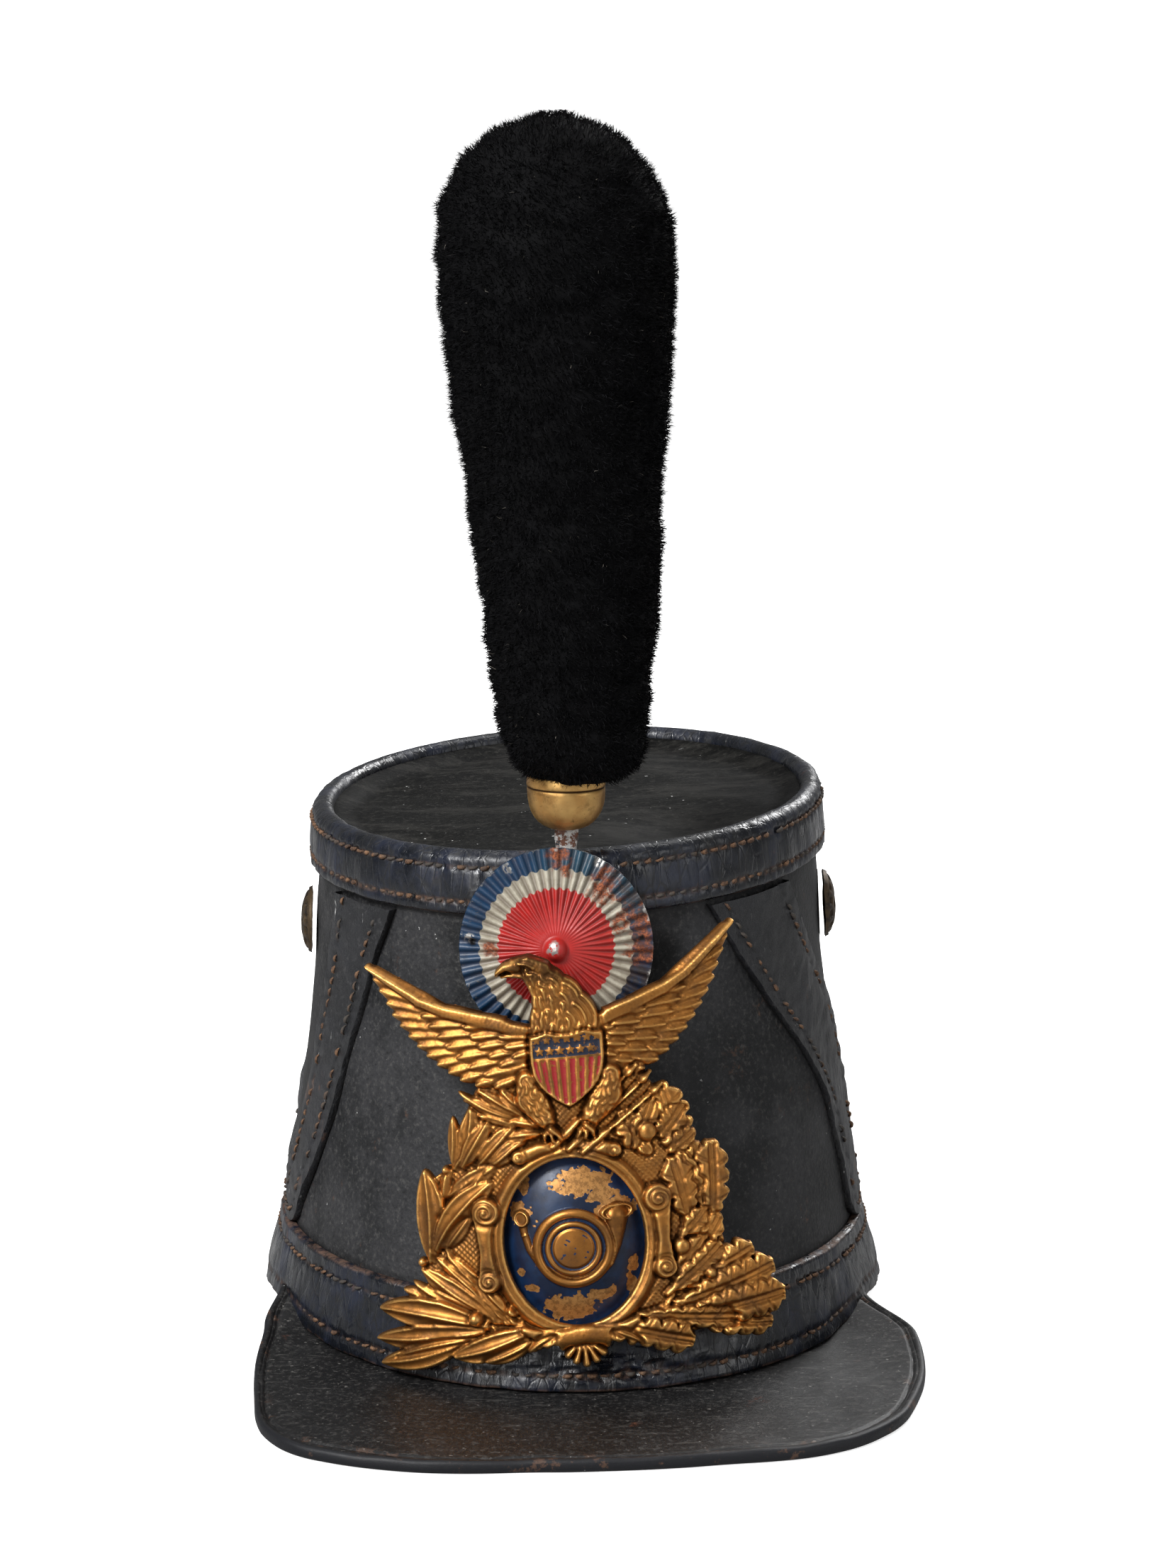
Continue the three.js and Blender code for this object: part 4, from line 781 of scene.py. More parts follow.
def strap_path(middle, heights, outer, inner):
    """Rows of outer and inner turn and height, down to the point and up again."""
    down = [(h, h, o, i) for h, o, i in zip(heights, outer, inner)]
    last = down[-1]
    down += [(0.0, 0.09, mix(last[2], middle, s), mix(last[3], middle, s)) for s in (0.12, 0.56)]
    rows = np.array(down + [(0.0, 0.1, middle, middle)])
    up = rows[-2::-1].copy()
    up[:, 2:] = 2 * middle - up[:, 2:]
    rows = np.concatenate([rows, up])
    steps = np.hypot(np.diff(rows[:, 0]) * 99, np.diff(rows[:, 2]) * 1.4) + 1.0
    run = np.concatenate([[0], np.cumsum(steps)])
    at = np.linspace(0, run[-1], int(run[-1] / 0.8))
    return np.stack([eased(at, run, rows[:, k], 5) for k in range(4)], 1)


def make_strap(side):
    """V strap sewn on one side, with a stitch row inside each edge."""
    rows = strap_path(*STRAPS[side])
    low = BOTTOM_BAND_HEIGHT + 0.1
    span = TOP_BAND_FOOT - 0.1 - low
    across = np.concatenate([[0, 0.012], np.linspace(0.04, 0.96, 24), [0.988, 1]])
    top_out = STRAP_SEAT + STRAP_THICKNESS * np.ones(len(across))
    top_out[[0, -1]] -= 0.5
    share = np.concatenate([across, [1, 0]])
    out = np.concatenate([top_out, [STRAP_SEAT - 0.4, STRAP_SEAT - 0.4]])
    level = mix(rows[:, 0:1], rows[:, 1:2], share)
    turn = mix(rows[:, 2:3], rows[:, 3:4], share)
    height = low + span * level
    outs = np.broadcast_to(out, turn.shape).copy()
    shown = (np.arange(len(share)) < len(across)).astype(float)
    points = body_point(turn, height, outs)
    width = np.linalg.norm(points[:, 0] - points[:, len(across) - 1], axis=1)[:, None]
    from_edge = np.minimum(share, 1 - share)[None, :] * width
    outs += (wobble(points, 16, 31) * 0.3 + wobble(points, 4, 32) * 0.16) * shown
    sewn = []
    for share_in in (STRAP_ROW / width[:, 0], 1 - STRAP_ROW / width[:, 0]):
        turn_in = mix(rows[:, 2], rows[:, 3], share_in)
        height_in = low + span * mix(rows[:, 0], rows[:, 1], share_in)
        line = body_point(turn_in, height_in, STRAP_SEAT + STRAP_THICKNESS - 0.15)
        sewn.append((line, unit(body_point(turn_in, height_in, 6) - line)))
    passed = np.where(share < 0.5, *(holes_passed(line)[:, None] for line, _ in sewn))
    outs -= row_dip(from_edge - STRAP_ROW, passed, 0.55) * shown
    points = body_point(turn, height, outs)
    holes = hole_spots(from_edge - STRAP_ROW, passed) * shown
    # Side faces and underside, which the finish blackens partly as painted shade
    edge = np.broadcast_to(1 - smooth((out - STRAP_SEAT) / STRAP_THICKNESS), turn.shape)
    faces = grid_faces(len(rows), len(share), False, True)
    piece(f"side_strap_{side}", points, faces, STRAP_LEATHER,
          [f"chevron_{side}"], {"hole": holes, "edge": edge})
    stitches(f"side_strap_{side}_stitches", sewn, 33 + len(side), kept=0.7)


# Visor: the climb of its left and right end, and the furrow inside its rolled edge
VISOR_END_CLIMB = {"left": 5.0, "right": 2.5}
VISOR_FURROW = 2.2


def visor_reach(turn):
    """Reach of the visor as a share of the rim oval's radius; the ends close on the rim."""
    closing = smooth((VISOR_SPAN - np.abs(turn)) / 9)
    return mix(1.03, eased(turn, VISOR_EDGE_TURN, VISOR_EDGE_REACH, 2.2), closing)


def visor_top(turn):
    """Height of the peak, whose ends climb a little beside the head band."""
    climb = np.where(turn < 0, VISOR_END_CLIMB["left"], VISOR_END_CLIMB["right"])
    return rim_rise(turn) - CLEARANCE + climb * smooth((np.abs(turn) - 52) / 18) ** 1.5


def visor_edge(turn, inset):
    """Points of the visor's outline seen from above, some way inside its edge."""
    angle = np.radians(turn)
    reach = visor_reach(turn)
    spot = np.stack([RIM_WIDTH / 2 * reach * np.sin(angle),
                     -RIM_LENGTH / 2 * reach * np.cos(angle)], -1)
    size = np.linalg.norm(spot, axis=-1, keepdims=True)
    return spot * (1 - np.asarray(inset)[..., None] / size)


def make_visor():
    """Flat peak with a furrow inside its rolled edge."""
    turns = np.linspace(-VISOR_SPAN, VISOR_SPAN, 210)
    share = np.concatenate([np.linspace(0, 0.8, 22), np.linspace(0.82, 1, 20)])
    turn, part = np.meshgrid(turns, share, indexing="ij")
    inner = body_point(turn, 0 * turn, -SHELL_WALL / 2)[..., :2]
    outer = visor_edge(turn, np.full(turn.shape, BINDING_WIDTH * 0.6))
    flat = mix(inner, outer, part[..., None])
    from_edge = np.linalg.norm(flat - outer, axis=-1)
    top = visor_top(turn)
    spread = np.concatenate([flat, top[..., None]], -1)
    relief = wobble(spread, 30, 41) * 0.3 * smooth(part * 3) + wobble(spread, 8, 42) * 0.07
    relief -= 0.55 * hill(from_edge - VISOR_FURROW, 0.5)
    upper = spread + np.stack([0 * top, 0 * top, relief], -1)
    points, faces = two_sheets(upper, spread - [0, 0, VISOR_THICKNESS],
                               grid_faces(len(turns), len(share))[:, ::-1])
    wear = np.stack([hill(from_edge, 5) * 0.9] * 2)
    piece("visor_leather", points, faces, VISOR_LEATHER, ["visor"],
          {"wear": wear, "edge": 0 * wear})


def make_visor_edge():
    """Rolled leather edge: a round bead that closes at both ends."""
    turns = np.linspace(-VISOR_SPAN, VISOR_SPAN, 420)
    ring = np.radians(np.arange(0, 360, 20))
    top = visor_top(turns)
    low = np.maximum(top - VISOR_THICKNESS - CLEARANCE, 0.02)
    high = top + 0.45
    closing = np.minimum(1, np.sqrt(np.maximum(1 - (np.abs(turns) / VISOR_SPAN) ** 40, 0)))
    inset = BINDING_WIDTH / 2 * (1 - np.outer(closing, squarish(np.cos(ring), 0.8)))
    rise = ((high - low) / 2 * closing)[:, None] * squarish(np.sin(ring), 0.7)
    flat = visor_edge(np.repeat(turns[:, None], len(ring), 1), inset)
    points = np.concatenate([flat, ((high + low) / 2)[:, None, None] + rise[..., None]], -1)
    points[..., 2] += wobble(points, 11, 43) * 0.12 * (np.sin(ring) > 0)
    points[..., 2] = np.maximum(points[..., 2], 0.0)
    wear = np.broadcast_to(smooth(np.cos(ring) * 0.5 + 0.5), points.shape[:2])
    piece("visor_rolled_edge", points, grid_faces(len(turns), len(ring), False, True),
          VISOR_LEATHER, ["visor_binding"], {"wear": wear, "edge": wear})


make_body()
make_crown_band()
make_crown_stitches()
make_head_band()
make_head_stitches()
make_crown_top()
for side in STRAPS:
    make_strap(side)
make_visor()
make_visor_edge()


# Gilt plate, drawn in modules of 1 mm across and 1.016 mm up from the middle of its opening
PLATE_HEIGHT = 108.7
MODULES_UP = 107.0
PLATE_BEND_RADIUS = 95.0
PLATE_STAND_OFF = 10.1
PLATE_CENTRE_HEIGHT = 44.0
PLATE_SIDE = 0.3
PLATE_TURN = 5.0
PLATE_UPRIGHT = 4.15
PLATE_BACK = -1.4
RELIEF = 4.0
OPENING_WIDTH = 36.2
OPENING_HEIGHT = 43.4
MODULE_UP = PLATE_HEIGHT / MODULES_UP
# Left, right, low and high end of the plate's field, and the step of its grid
PLATE_FIELD = (-58.4, 57.4, -33, 78.5, 0.3)
HEM = 0.25


def front_lean():
    """Backward lean of the body's front, in degrees."""
    line = body_point(0, BODY_HEIGHT) - body_point(0, 0)
    return math.degrees(math.atan2(line[1], line[2]))


def plate_axes():
    """Up, outward and across directions of the plate."""
    slope = math.radians(front_lean() - PLATE_UPRIGHT)
    up = Vector((0, math.sin(slope), math.cos(slope)))
    out = Vector((0, -up.z, up.y))
    up = Matrix.Rotation(math.radians(PLATE_TURN), 3, out) @ up
    return np.array(up), np.array(out), np.array(up.cross(out))


PLATE_UP, PLATE_OUT, PLATE_ACROSS = plate_axes()
PLATE_MIDDLE = body_point(0, PLATE_CENTRE_HEIGHT, PLATE_STAND_OFF) * [0, 1, 1] + [PLATE_SIDE, 0, 0]


def plate_point(u, v, height):
    """Point of the bent plate: across and up in modules, height above its face in mm."""
    bend = u / PLATE_BEND_RADIUS
    radius = PLATE_BEND_RADIUS + height
    return (PLATE_MIDDLE + (radius * np.sin(bend))[..., None] * PLATE_ACROSS
            + (v * MODULE_UP)[..., None] * PLATE_UP
            + (radius * np.cos(bend) - PLATE_BEND_RADIUS)[..., None] * PLATE_OUT)


class Relief:
    """Stamped relief on a grid: how far inside the outline, how high, and what is painted."""

    def __init__(self, left, right, low, high, step):
        self.step = step
        self.u, self.v = np.meshgrid(np.arange(left, right, step), np.arange(low, high, step),
                                     indexing="ij")
        self.inside = np.full(self.u.shape, -9.0)
        self.height = np.zeros(self.u.shape)
        self.paint = {"blue": np.zeros(self.u.shape), "red": np.zeros(self.u.shape)}

    def cover(self, inside, height, edge=0.6, groove=0.5):
        """Lays a form over the work, rounded at its edge, with a groove just outside it."""
        outside = np.where(inside < 0, hill(inside, 0.5), 0)
        self.height -= groove * outside * (self.inside > -0.4)
        self.height = np.where(inside > 0, mix(np.minimum(self.height, height), height,
                                               smooth(inside / edge)), self.height)
        self.inside = np.maximum(self.inside, inside)

    def along(self, u, v, tip_u, tip_v, bow=0.0):
        """Share of the way from root to tip, and distance to the right of that line."""
        across, up = tip_u - u, tip_v - v
        length = math.hypot(across, up)
        share = ((self.u - u) * across + (self.v - v) * up) / length ** 2
        side = ((self.u - u) * up - (self.v - v) * across) / length
        inner = np.clip(share, 0, 1)
        return share, side - bow * length * 4 * inner * (1 - inner), length

    def blade(self, row, root=0.3):
        """Long pointed shape: share along it, place across it from -1 to 1, and inside."""
        share, side, length = self.along(row["u"], row["v"], row["tip_u"], row["tip_v"],
                                         row.get("bow", 0.0))
        bend = math.log(0.5) / math.log(row.get("widest", 0.5))
        swell = np.sin(math.pi * np.clip(share, 0, 1) ** bend) ** 0.62
        width = row["half"] * np.maximum(swell, root * smooth(1 - share * 2))
        inside = np.minimum(width - np.abs(side), share * length + 0.4)
        inside = np.minimum(inside, (1 - share) * length * 0.8)
        return np.clip(share, 0, 1), side / np.maximum(width, 0.15), inside

    def path(self, rows):
        """Bent strip through rows of place and half width: run, place across, inside."""
        best = np.full(self.u.shape, -99.0)
        run, side_at = np.zeros(self.u.shape), np.zeros(self.u.shape)
        done = 0.0
        for a, b in zip(rows[:-1], rows[1:]):
            across, up = b["u"] - a["u"], b["v"] - a["v"]
            length = math.hypot(across, up)
            share = np.clip(((self.u - a["u"]) * across + (self.v - a["v"]) * up)
                            / length ** 2, 0, 1)
            du = self.u - a["u"] - across * share
            dv = self.v - a["v"] - up * share
            width = mix(a["half"], b["half"], share)
            inside = width - np.hypot(du, dv)
            nearer = inside > best
            best = np.where(nearer, inside, best)
            run = np.where(nearer, done + share * length, run)
            side = np.sign(du * up - dv * across) * np.hypot(du, dv) / width
            side_at = np.where(nearer, side, side_at)
            done += length
        return run, side_at, best

    def laurel(self, row):
        """Smooth pointed leaf with a midrib and a trough on each side of it."""
        share, side, inside = self.blade(row)
        level = row["rise"] * RELIEF * (0.62 + 0.38 * np.sin(math.pi * share ** 0.8))
        trough = np.abs(np.sin(math.pi * np.clip(side, -1, 1))) ** 0.8
        rib = hill(side * row["half"], 0.32)
        self.cover(inside, level * (1 - 0.34 * trough) + 0.3 * rib, 0.5, 0.5)

    def feather(self, row, rise, barb):
        """Feather with a round tip, a raised shaft and fine barbs."""
        share, side, length = self.along(row["u"], row["v"], row["tip_u"], row["tip_v"],
                                         row.get("bow", 0.0))
        tip = np.sqrt(np.clip((1 - share) * length / (1.7 * row["half"]), 0, 1))
        width = row["half"] * mix(0.7, 1, smooth(share * 3)) * tip
        inside = np.minimum(width - np.abs(side), share * length + 0.3)
        inside = np.minimum(inside, (1 - share) * length)
        place = np.clip(side / np.maximum(width, 0.2), -1, 1)
        barbs = np.cos(2 * math.pi * (share * length + np.abs(side) * 1.1) / barb)
        shaft = hill(side, 0.3)
        level = rise * RELIEF * mix(1.0, 0.72, np.clip(share, 0, 1))
        form = level * (1 - 0.38 * np.abs(place) ** 1.6) + 0.16 * barbs * (1 - shaft) + 0.36 * shaft
        self.cover(inside, form, 0.45, 0.4)

    def oak(self, row):
        """Oak leaf: rounded lobes, a raised midrib and hollows between the lobes."""
        share, side, length = self.along(row["u"], row["v"], row["tip_u"], row["tip_v"])
        part = np.clip(share, 0, 1)
        lobes = max(3, round(length / 4.2))
        beat = lobes * part ** 0.9 + 0.2 + 0.18 * (side > 0)
        wave = np.abs(np.sin(math.pi * beat)) ** 0.55
        tip = np.sqrt(np.clip((1.03 - share) * length / (1.3 * row["half"]), 0, 1))
        swell = np.minimum(mix(0.3, 1, smooth(part * 2.2)), tip)
        width = row["half"] * 1.28 * swell * (0.6 + 0.4 * wave)
        inside = np.minimum(width - np.abs(side), share * length + 0.3)
        inside = np.minimum(inside, (1 - share) * length + 0.2)
        across = np.clip(np.abs(side) / np.maximum(width, 0.2), 0, 1)
        vein = (beat - 0.5 * across + 0.5) % 1 - 0.5
        dip = hill(vein * length / lobes, 0.42) * across
        level = row["rise"] * RELIEF * (0.62 + 0.5 * np.sin(math.pi * part))
        rib = hill(side, 0.36)
        valley = hill(np.abs(side) - 0.75, 0.34)
        swelling = 0.7 + 0.3 * np.sin(math.pi * across) ** 0.7
        form = level * swelling + 0.4 * rib - 0.5 * valley - 0.9 * dip
        self.cover(inside, form + 0.42 * ridge(inside - 0.55, 0.45), 0.45, 0.75)

    def knob(self, u, v, size, rise):
        away = np.hypot(self.u - u, self.v - v)
        dome = np.sqrt(np.clip(1 - (away / size) ** 2, 0, 1))
        self.cover(size - away, rise * RELIEF * (0.45 + 0.55 * dome), 0.3, 0.5)

    def volute(self, u, v, size, rise, hand=1, pitch=1.5):
        """Rolled scroll end: a spiral ridge that winds up to its middle."""
        du, dv = (self.u - u) * hand, self.v - v
        away = np.hypot(du, dv)
        phase = away / pitch - np.arctan2(dv, du) / (2 * math.pi)
        ridge = 0.5 + 0.5 * np.cos(2 * math.pi * phase)
        level = rise * RELIEF * (0.86 + 0.14 * smooth(1 - away / size))
        self.cover(size - away, level - 0.75 * (1 - ridge) * smooth(away / 0.8), 0.4, 0.55)

    def tube(self, rows, rise, flat=0.5, ripple=0.0, pitch=1.6, groove=0.7):
        """Round strip, flattened by a share and crossed by ripples where it has any."""
        run, side, inside = self.path(rows)
        round_top = np.sqrt(np.clip(1 - side ** 2, 0, 1))
        level = rise * RELIEF * mix(flat, 1, round_top)
        level = level + ripple * np.cos(2 * math.pi * (run + 0.5 * np.abs(side)) / pitch)
        self.cover(inside, level, 0.35, groove)

    def scales(self, rows, rise, long_step, wide_step, depth):
        """Strip covered with small uneven feathers that point along it."""
        run, side, inside = self.path(rows)
        width = np.interp(run, self.runs(rows), [row["half"] for row in rows])
        place = side * width
        place = place + 0.35 * np.sin(run * 1.3)
        x = (place / wide_step) % 1 - 0.5
        y = (run / long_step + np.floor(place / wide_step) * 0.618) % 1
        lobe = np.clip(1 - (2 * x) ** 2 * (0.35 + 0.65 * y), 0, 1)
        level = rise * RELIEF * mix(0.35, 1, np.sqrt(np.clip(1 - side ** 2, 0, 1)))
        form = level + depth * (lobe * (0.25 + 0.75 * y) - 0.5) + 0.18 * hill(x * wide_step, 0.25)
        self.cover(inside, form, 0.4, 0.45)

    def shell_rib(self, u, v, tip_u, tip_v):
        """One rib of the hanging shell, widest and roundest at its end."""
        rows = table("u v half", [(u, v, 0.5), (mix(u, tip_u, 0.55), mix(v, tip_v, 0.55), 0.85),
                                  (tip_u, tip_v, 1.15)])
        self.tube(rows, 0.62, 0.45)

    @staticmethod
    def runs(rows):
        """Distance from the first row to each row."""
        steps = [math.hypot(b["u"] - a["u"], b["v"] - a["v"]) for a, b in zip(rows, rows[1:])]
        return np.concatenate([[0], np.cumsum(steps)])

    def soften(self):
        for axis in (0, 1):
            self.height = (np.roll(self.height, 1, axis) + 2 * self.height
                           + np.roll(self.height, -1, axis)) / 4

    def hollows(self, reach):
        """How far each point lies below its surroundings and above them, 0 to 1."""
        spread = np.where(self.inside > 0, self.height, 0)
        for _ in range(reach):
            for axis in (0, 1):
                spread = (np.roll(spread, 1, axis) + spread + np.roll(spread, -1, axis)) / 3
        below = spread - self.height
        return np.clip(below / 0.7, 0, 1), np.clip(-below / 0.55, 0, 1)

    def mesh(self, place, back, back_step, marks):
        """Front sheet with its border drawn to the outline, a turned edge and a plain back."""
        grad_u, grad_v = np.gradient(self.inside, self.step)
        slope = np.maximum(grad_u ** 2 + grad_v ** 2, 0.2)
        pull = np.clip(-self.inside / slope, 0, 1.5 * self.step) * (self.inside < 0)
        u = self.u + grad_u * pull
        v = self.v + grad_v * pull
        points = place(u, v, self.height)
        rows, columns = self.u.shape
        quads = grid_faces(rows, columns)
        values = self.inside.ravel()[quads]
        quads = quads[(values.max(1) > 0) & (values.min(1) > -1.6 * self.step)]
        edges = quads[:, [0, 1, 1, 2, 2, 3, 3, 0]].reshape(-1, 2)
        keys = np.sort(edges, 1)
        packed = keys[:, 0] * rows * columns + keys[:, 1]
        _, first, counts = np.unique(packed, return_index=True, return_counts=True)
        border = edges[first[counts == 1]]
        rim = np.unique(border)
        inward = np.stack([grad_u.ravel()[rim], grad_v.ravel()[rim]], 1)
        inward = unit(inward) * HEM
        flat = points.reshape(-1, 3)
        rim_u, rim_v = u.ravel()[rim], v.ravel()[rim]
        lip = place(rim_u, rim_v, np.full(len(rim), back * 0.45))
        low = place(rim_u + inward[:, 0], rim_v + inward[:, 1], np.full(len(rim), back))
        slot_of = np.zeros(rows * columns, int)
        slot_of[rim] = np.arange(len(rim))
        total = len(flat)
        a, b = border[:, 0], border[:, 1]
        lip_a, lip_b = total + slot_of[a], total + slot_of[b]
        skirt = np.stack([b, a, lip_a, lip_b], 1)
        turned = np.stack([lip_b, lip_a, lip_a + len(rim), lip_b + len(rim)], 1)
        every = max(1, round(back_step / self.step))
        coarse = np.arange(0, rows, every), np.arange(0, columns, every)
        take = (coarse[0][:, None] * columns + coarse[1][None, :])
        hind = grid_faces(*take.shape)
        hind_values = self.inside.ravel()[take.ravel()[hind]]
        hind = hind[hind_values.min(1) > 0]
        rear = place(self.u.ravel()[take.ravel()], self.v.ravel()[take.ravel()],
                     np.full(take.size, back))
        everything = np.concatenate([flat, lip, low, rear])
        faces = np.concatenate([quads[:, ::-1], skirt[:, ::-1], turned[:, ::-1],
                                hind + total + 2 * len(rim)])
        used = np.unique(faces)
        renumber = np.zeros(len(everything), int)
        renumber[used] = np.arange(len(used))
        kept = {}
        for name, values in marks.items():
            kept[name] = np.append(values.ravel(), np.zeros(2 * len(rim) + take.size))[used]
        return everything[used], renumber[faces], kept


def table(names, rows):
    """Rows of numbers as named values."""
    keys = names.split()
    return [dict(zip(keys, row)) for row in rows]


def turned_over(rows):
    """The same rows on the viewer's right, their outer end lifted."""
    result = []
    for row in rows:
        moved = dict(row)
        for across, up in (("u", "v"), ("tip_u", "tip_v")):
            if across in row:
                moved[across] = -row[across]
                moved[up] = row[up] + RIGHT_WING_LIFT * (row[across] / WING_TIP) ** 2
        result.append(moved)
    return result


# Rows of the plate's pieces, in modules; half is half a width, rise a share of RELIEF
WING_TIP = 48.4
RIGHT_WING_LIFT = 3.5
LAUREL_FULLER = 1.18
PRIMARIES = table("u v tip_u tip_v half", [
    (-27, 60.4, -48.6, 72, 1.3), (-25, 59.4, -47.4, 69.2, 1.5), (-24, 58.2, -45.9, 66.2, 1.7),
    (-23, 56.8, -44.2, 63, 1.8), (-22, 55.4, -42.8, 60, 1.9), (-21.4, 53.8, -40.8, 57.2, 1.9),
    (-20.6, 52.2, -38.8, 54.4, 1.9), (-19.4, 50.8, -36.6, 51.8, 1.9),
    (-18, 49.4, -34.2, 49.2, 1.9), (-16.4, 48, -31.6, 46.8, 1.9), (-14.8, 46.6, -28.8, 44.6, 1.8),
    (-12.8, 45.2, -25.8, 42.6, 1.7), (-10.8, 44, -22, 41, 1.6), (-8.6, 43, -17, 40.2, 1.5)])
COVERTS = table("u v tip_u tip_v half", [
    (-19, 58.8, -36, 62.2, 1.4), (-17, 57.6, -34.4, 59.4, 1.6), (-15, 56, -32.6, 56.6, 1.8),
    (-13, 54.2, -30.6, 53.8, 1.9), (-11.6, 52.2, -28.4, 51, 1.9), (-10.2, 50, -25.8, 48.2, 1.9),
    (-9, 47.8, -22.8, 45.6, 1.8), (-8, 45.6, -19, 43.4, 1.7)])
SMALL_COVERTS = table("u v tip_u tip_v half", [
    (-12.5, 57, -24.6, 58.6, 1.5), (-11, 55.4, -23.4, 56, 1.6), (-9.8, 53.6, -21.8, 53.2, 1.6),
    (-8.8, 51.8, -20, 50.6, 1.6), (-8, 49.8, -17.6, 48, 1.6), (-7.2, 47.8, -15, 45.6, 1.5)])
TINY_COVERTS = table("u v tip_u tip_v half", [
    (-7.4, 54.4, -15.6, 55.8, 1.6), (-7, 52.6, -14.6, 53, 1.6), (-6.8, 50.6, -13.4, 50.2, 1.5),
    (-6.6, 48.8, -11.6, 47.6, 1.4)])
WING_EDGE = table("u v half", [
    (-7, 54.2, 1.4), (-11, 55.0, 1.7), (-14, 56.2, 1.9), (-17.5, 57.3, 1.9), (-22, 58.5, 1.7),
    (-28, 60.2, 1.5), (-34, 62.8, 1.3), (-41, 67.4, 1.1), (-48.6, 72.3, 0.6)])
WING_WEB = table("u v half", [
    (-9, 48.5, 6.5), (-16, 49.6, 8), (-24, 51.6, 7.6), (-32, 56.6, 5.4), (-38, 61.6, 3.9),
    (-44, 67.2, 2.2), (-48, 71.8, 0.8)])
NECK = table("u v half", [
    (-13.6, 69, 0.6), (-10.6, 70.8, 1.4), (-7.2, 70.2, 2.6), (-3.6, 68.4, 4), (-1, 65, 5),
    (1.2, 61, 6.8), (2.4, 56, 8.8), (2.4, 52, 9.2)])
CROWN_OF_HEAD = table("u v half", [(-9.5, 71.6, 1), (-5.4, 71.6, 1.7), (-1.6, 69.8, 1.9)])
BEAK = table("u v half", [(-8.4, 70.6, 1.9), (-11.4, 70.6, 1.2), (-13.2, 69.4, 0.8),
                          (-13.8, 68.2, 0.35)])
JAW = table("u v half", [(-7.4, 68.2, 1.1), (-10.4, 68.4, 0.8), (-12.6, 68, 0.45)])
SHIELD_STRIPES = table("u v tip_u tip_v", [
    (-4.9, 46.4, -3.6, 38), (-2.6, 46.6, -1.8, 36.2), (-0.2, 46.8, 0, 34.6),
    (2.2, 46.8, 1.9, 34.4), (4.6, 46.8, 4, 35.2), (7, 46.6, 6, 36.8), (9.3, 46.4, 7.9, 39.2)])
STAR_ROWS = table("u v pitch count", [(-4.9, 51.7, 2.45, 7), (-4.4, 48.9, 2.5, 6)])
ARROWS = table("u v tip_u tip_v", [(-3, 24.8, 19.4, 43), (0.6, 23.6, 23, 40.8),
                                   (4, 22.6, 25.4, 37.4)])
SPRIG = table("u v tip_u tip_v half rise bow", [
    (-9, 31, -25.6, 37.4, 1.9, 0.62, 0.06), (-9, 32, -21.6, 40.2, 1.7, 0.66, 0),
    (-8, 33, -16, 40.6, 1.7, 0.62, -0.04), (-11, 30, -22, 33.4, 1.6, 0.6, 0.05),
    (-12, 32, -26.6, 39.8, 1.5, 0.5, -0.05), (-5.6, 27.8, -14.6, 27.4, 1.6, 0.66, 0.05),
    (-4.6, 30, -13.6, 31.6, 1.5, 0.66, 0)])
LAUREL = table("u v tip_u tip_v half rise bow", [
    (-29.4, 20, -23.4, 35.8, 2.8, 0.65, 0.1), (-27, 20.4, -19, 32, 2.2, 0.75, 0),
    (-23, 20.4, -12, 31, 2.3, 0.65, 0), (-29.8, 21, -28.6, 33.6, 1.6, 0.5, 0.04),
    (-20, 20, -9.6, 27.4, 1.9, 0.75, 0), (-32, 13, -18, 20.6, 2.2, 0.6, 0),
    (-33, 12, -31, 20.8, 1.3, 0.55, 0), (-38, -3.6, -37.6, 20.4, 3.6, 0.7, 0.05),
    (-34, 8, -21.6, 19, 1.9, 0.62, 0.05), (-36, -0.4, -19.4, 16.6, 3.4, 0.85, -0.05),
    (-33, 0, -26, 8, 1.8, 0.55, 0), (-17, -20, -33.6, -1.4, 2.2, 0.65, 0),
    (-19, -20, -36.6, -2.4, 1.7, 0.6, 0.03), (-21, -19.6, -41.4, -4.8, 2.6, 0.7, 0),
    (-18, -18, -26.4, -8, 1.6, 0.55, 0), (-24, -19, -47, -10.4, 2.6, 0.65, 0),
    (-22, -19.6, -44, -8.4, 1.7, 0.6, -0.03), (-24, -20.4, -54.6, -15.4, 3.6, 0.95, 0.03),
    (-25, -21.6, -56.4, -23.4, 3, 0.85, -0.02), (-30, -24.4, -56, -30, 2.8, 0.75, -0.03),
    (-28, -23.4, -50, -28, 1.7, 0.7, 0.03), (-12, -21.4, -34.2, -28, 3.2, 0.95, -0.04),
    (-12, -24, -26, -29.6, 1.9, 0.7, -0.04)])
BERRIES = table("u v size rise", [
    (-40.4, -3.6, 1.3, 0.5), (-26.6, -18, 1.9, 1.2), (-17, -16.4, 1.6, 0.9),
    (-11.4, -25.6, 1.5, 0.7), (-31.6, 20, 1.1, 0.55), (-14.4, 34.4, 1.1, 0.75),
    (-19, 35.4, 1, 0.7)])
STEMS = table("u v half", [(-12, -21, 0.7), (-22, -19, 0.8), (-29, -10, 0.7), (-33.5, 0, 0.7),
                           (-34, 12, 0.6), (-28, 24, 0.6), (-20, 33, 0.5)])
OAK_STEMS = table("u v half", [(12, -21, 0.7), (22, -19, 0.8), (28, -10, 0.8), (32, 0, 0.7),
                               (32, 14, 0.6), (26, 27, 0.5)])
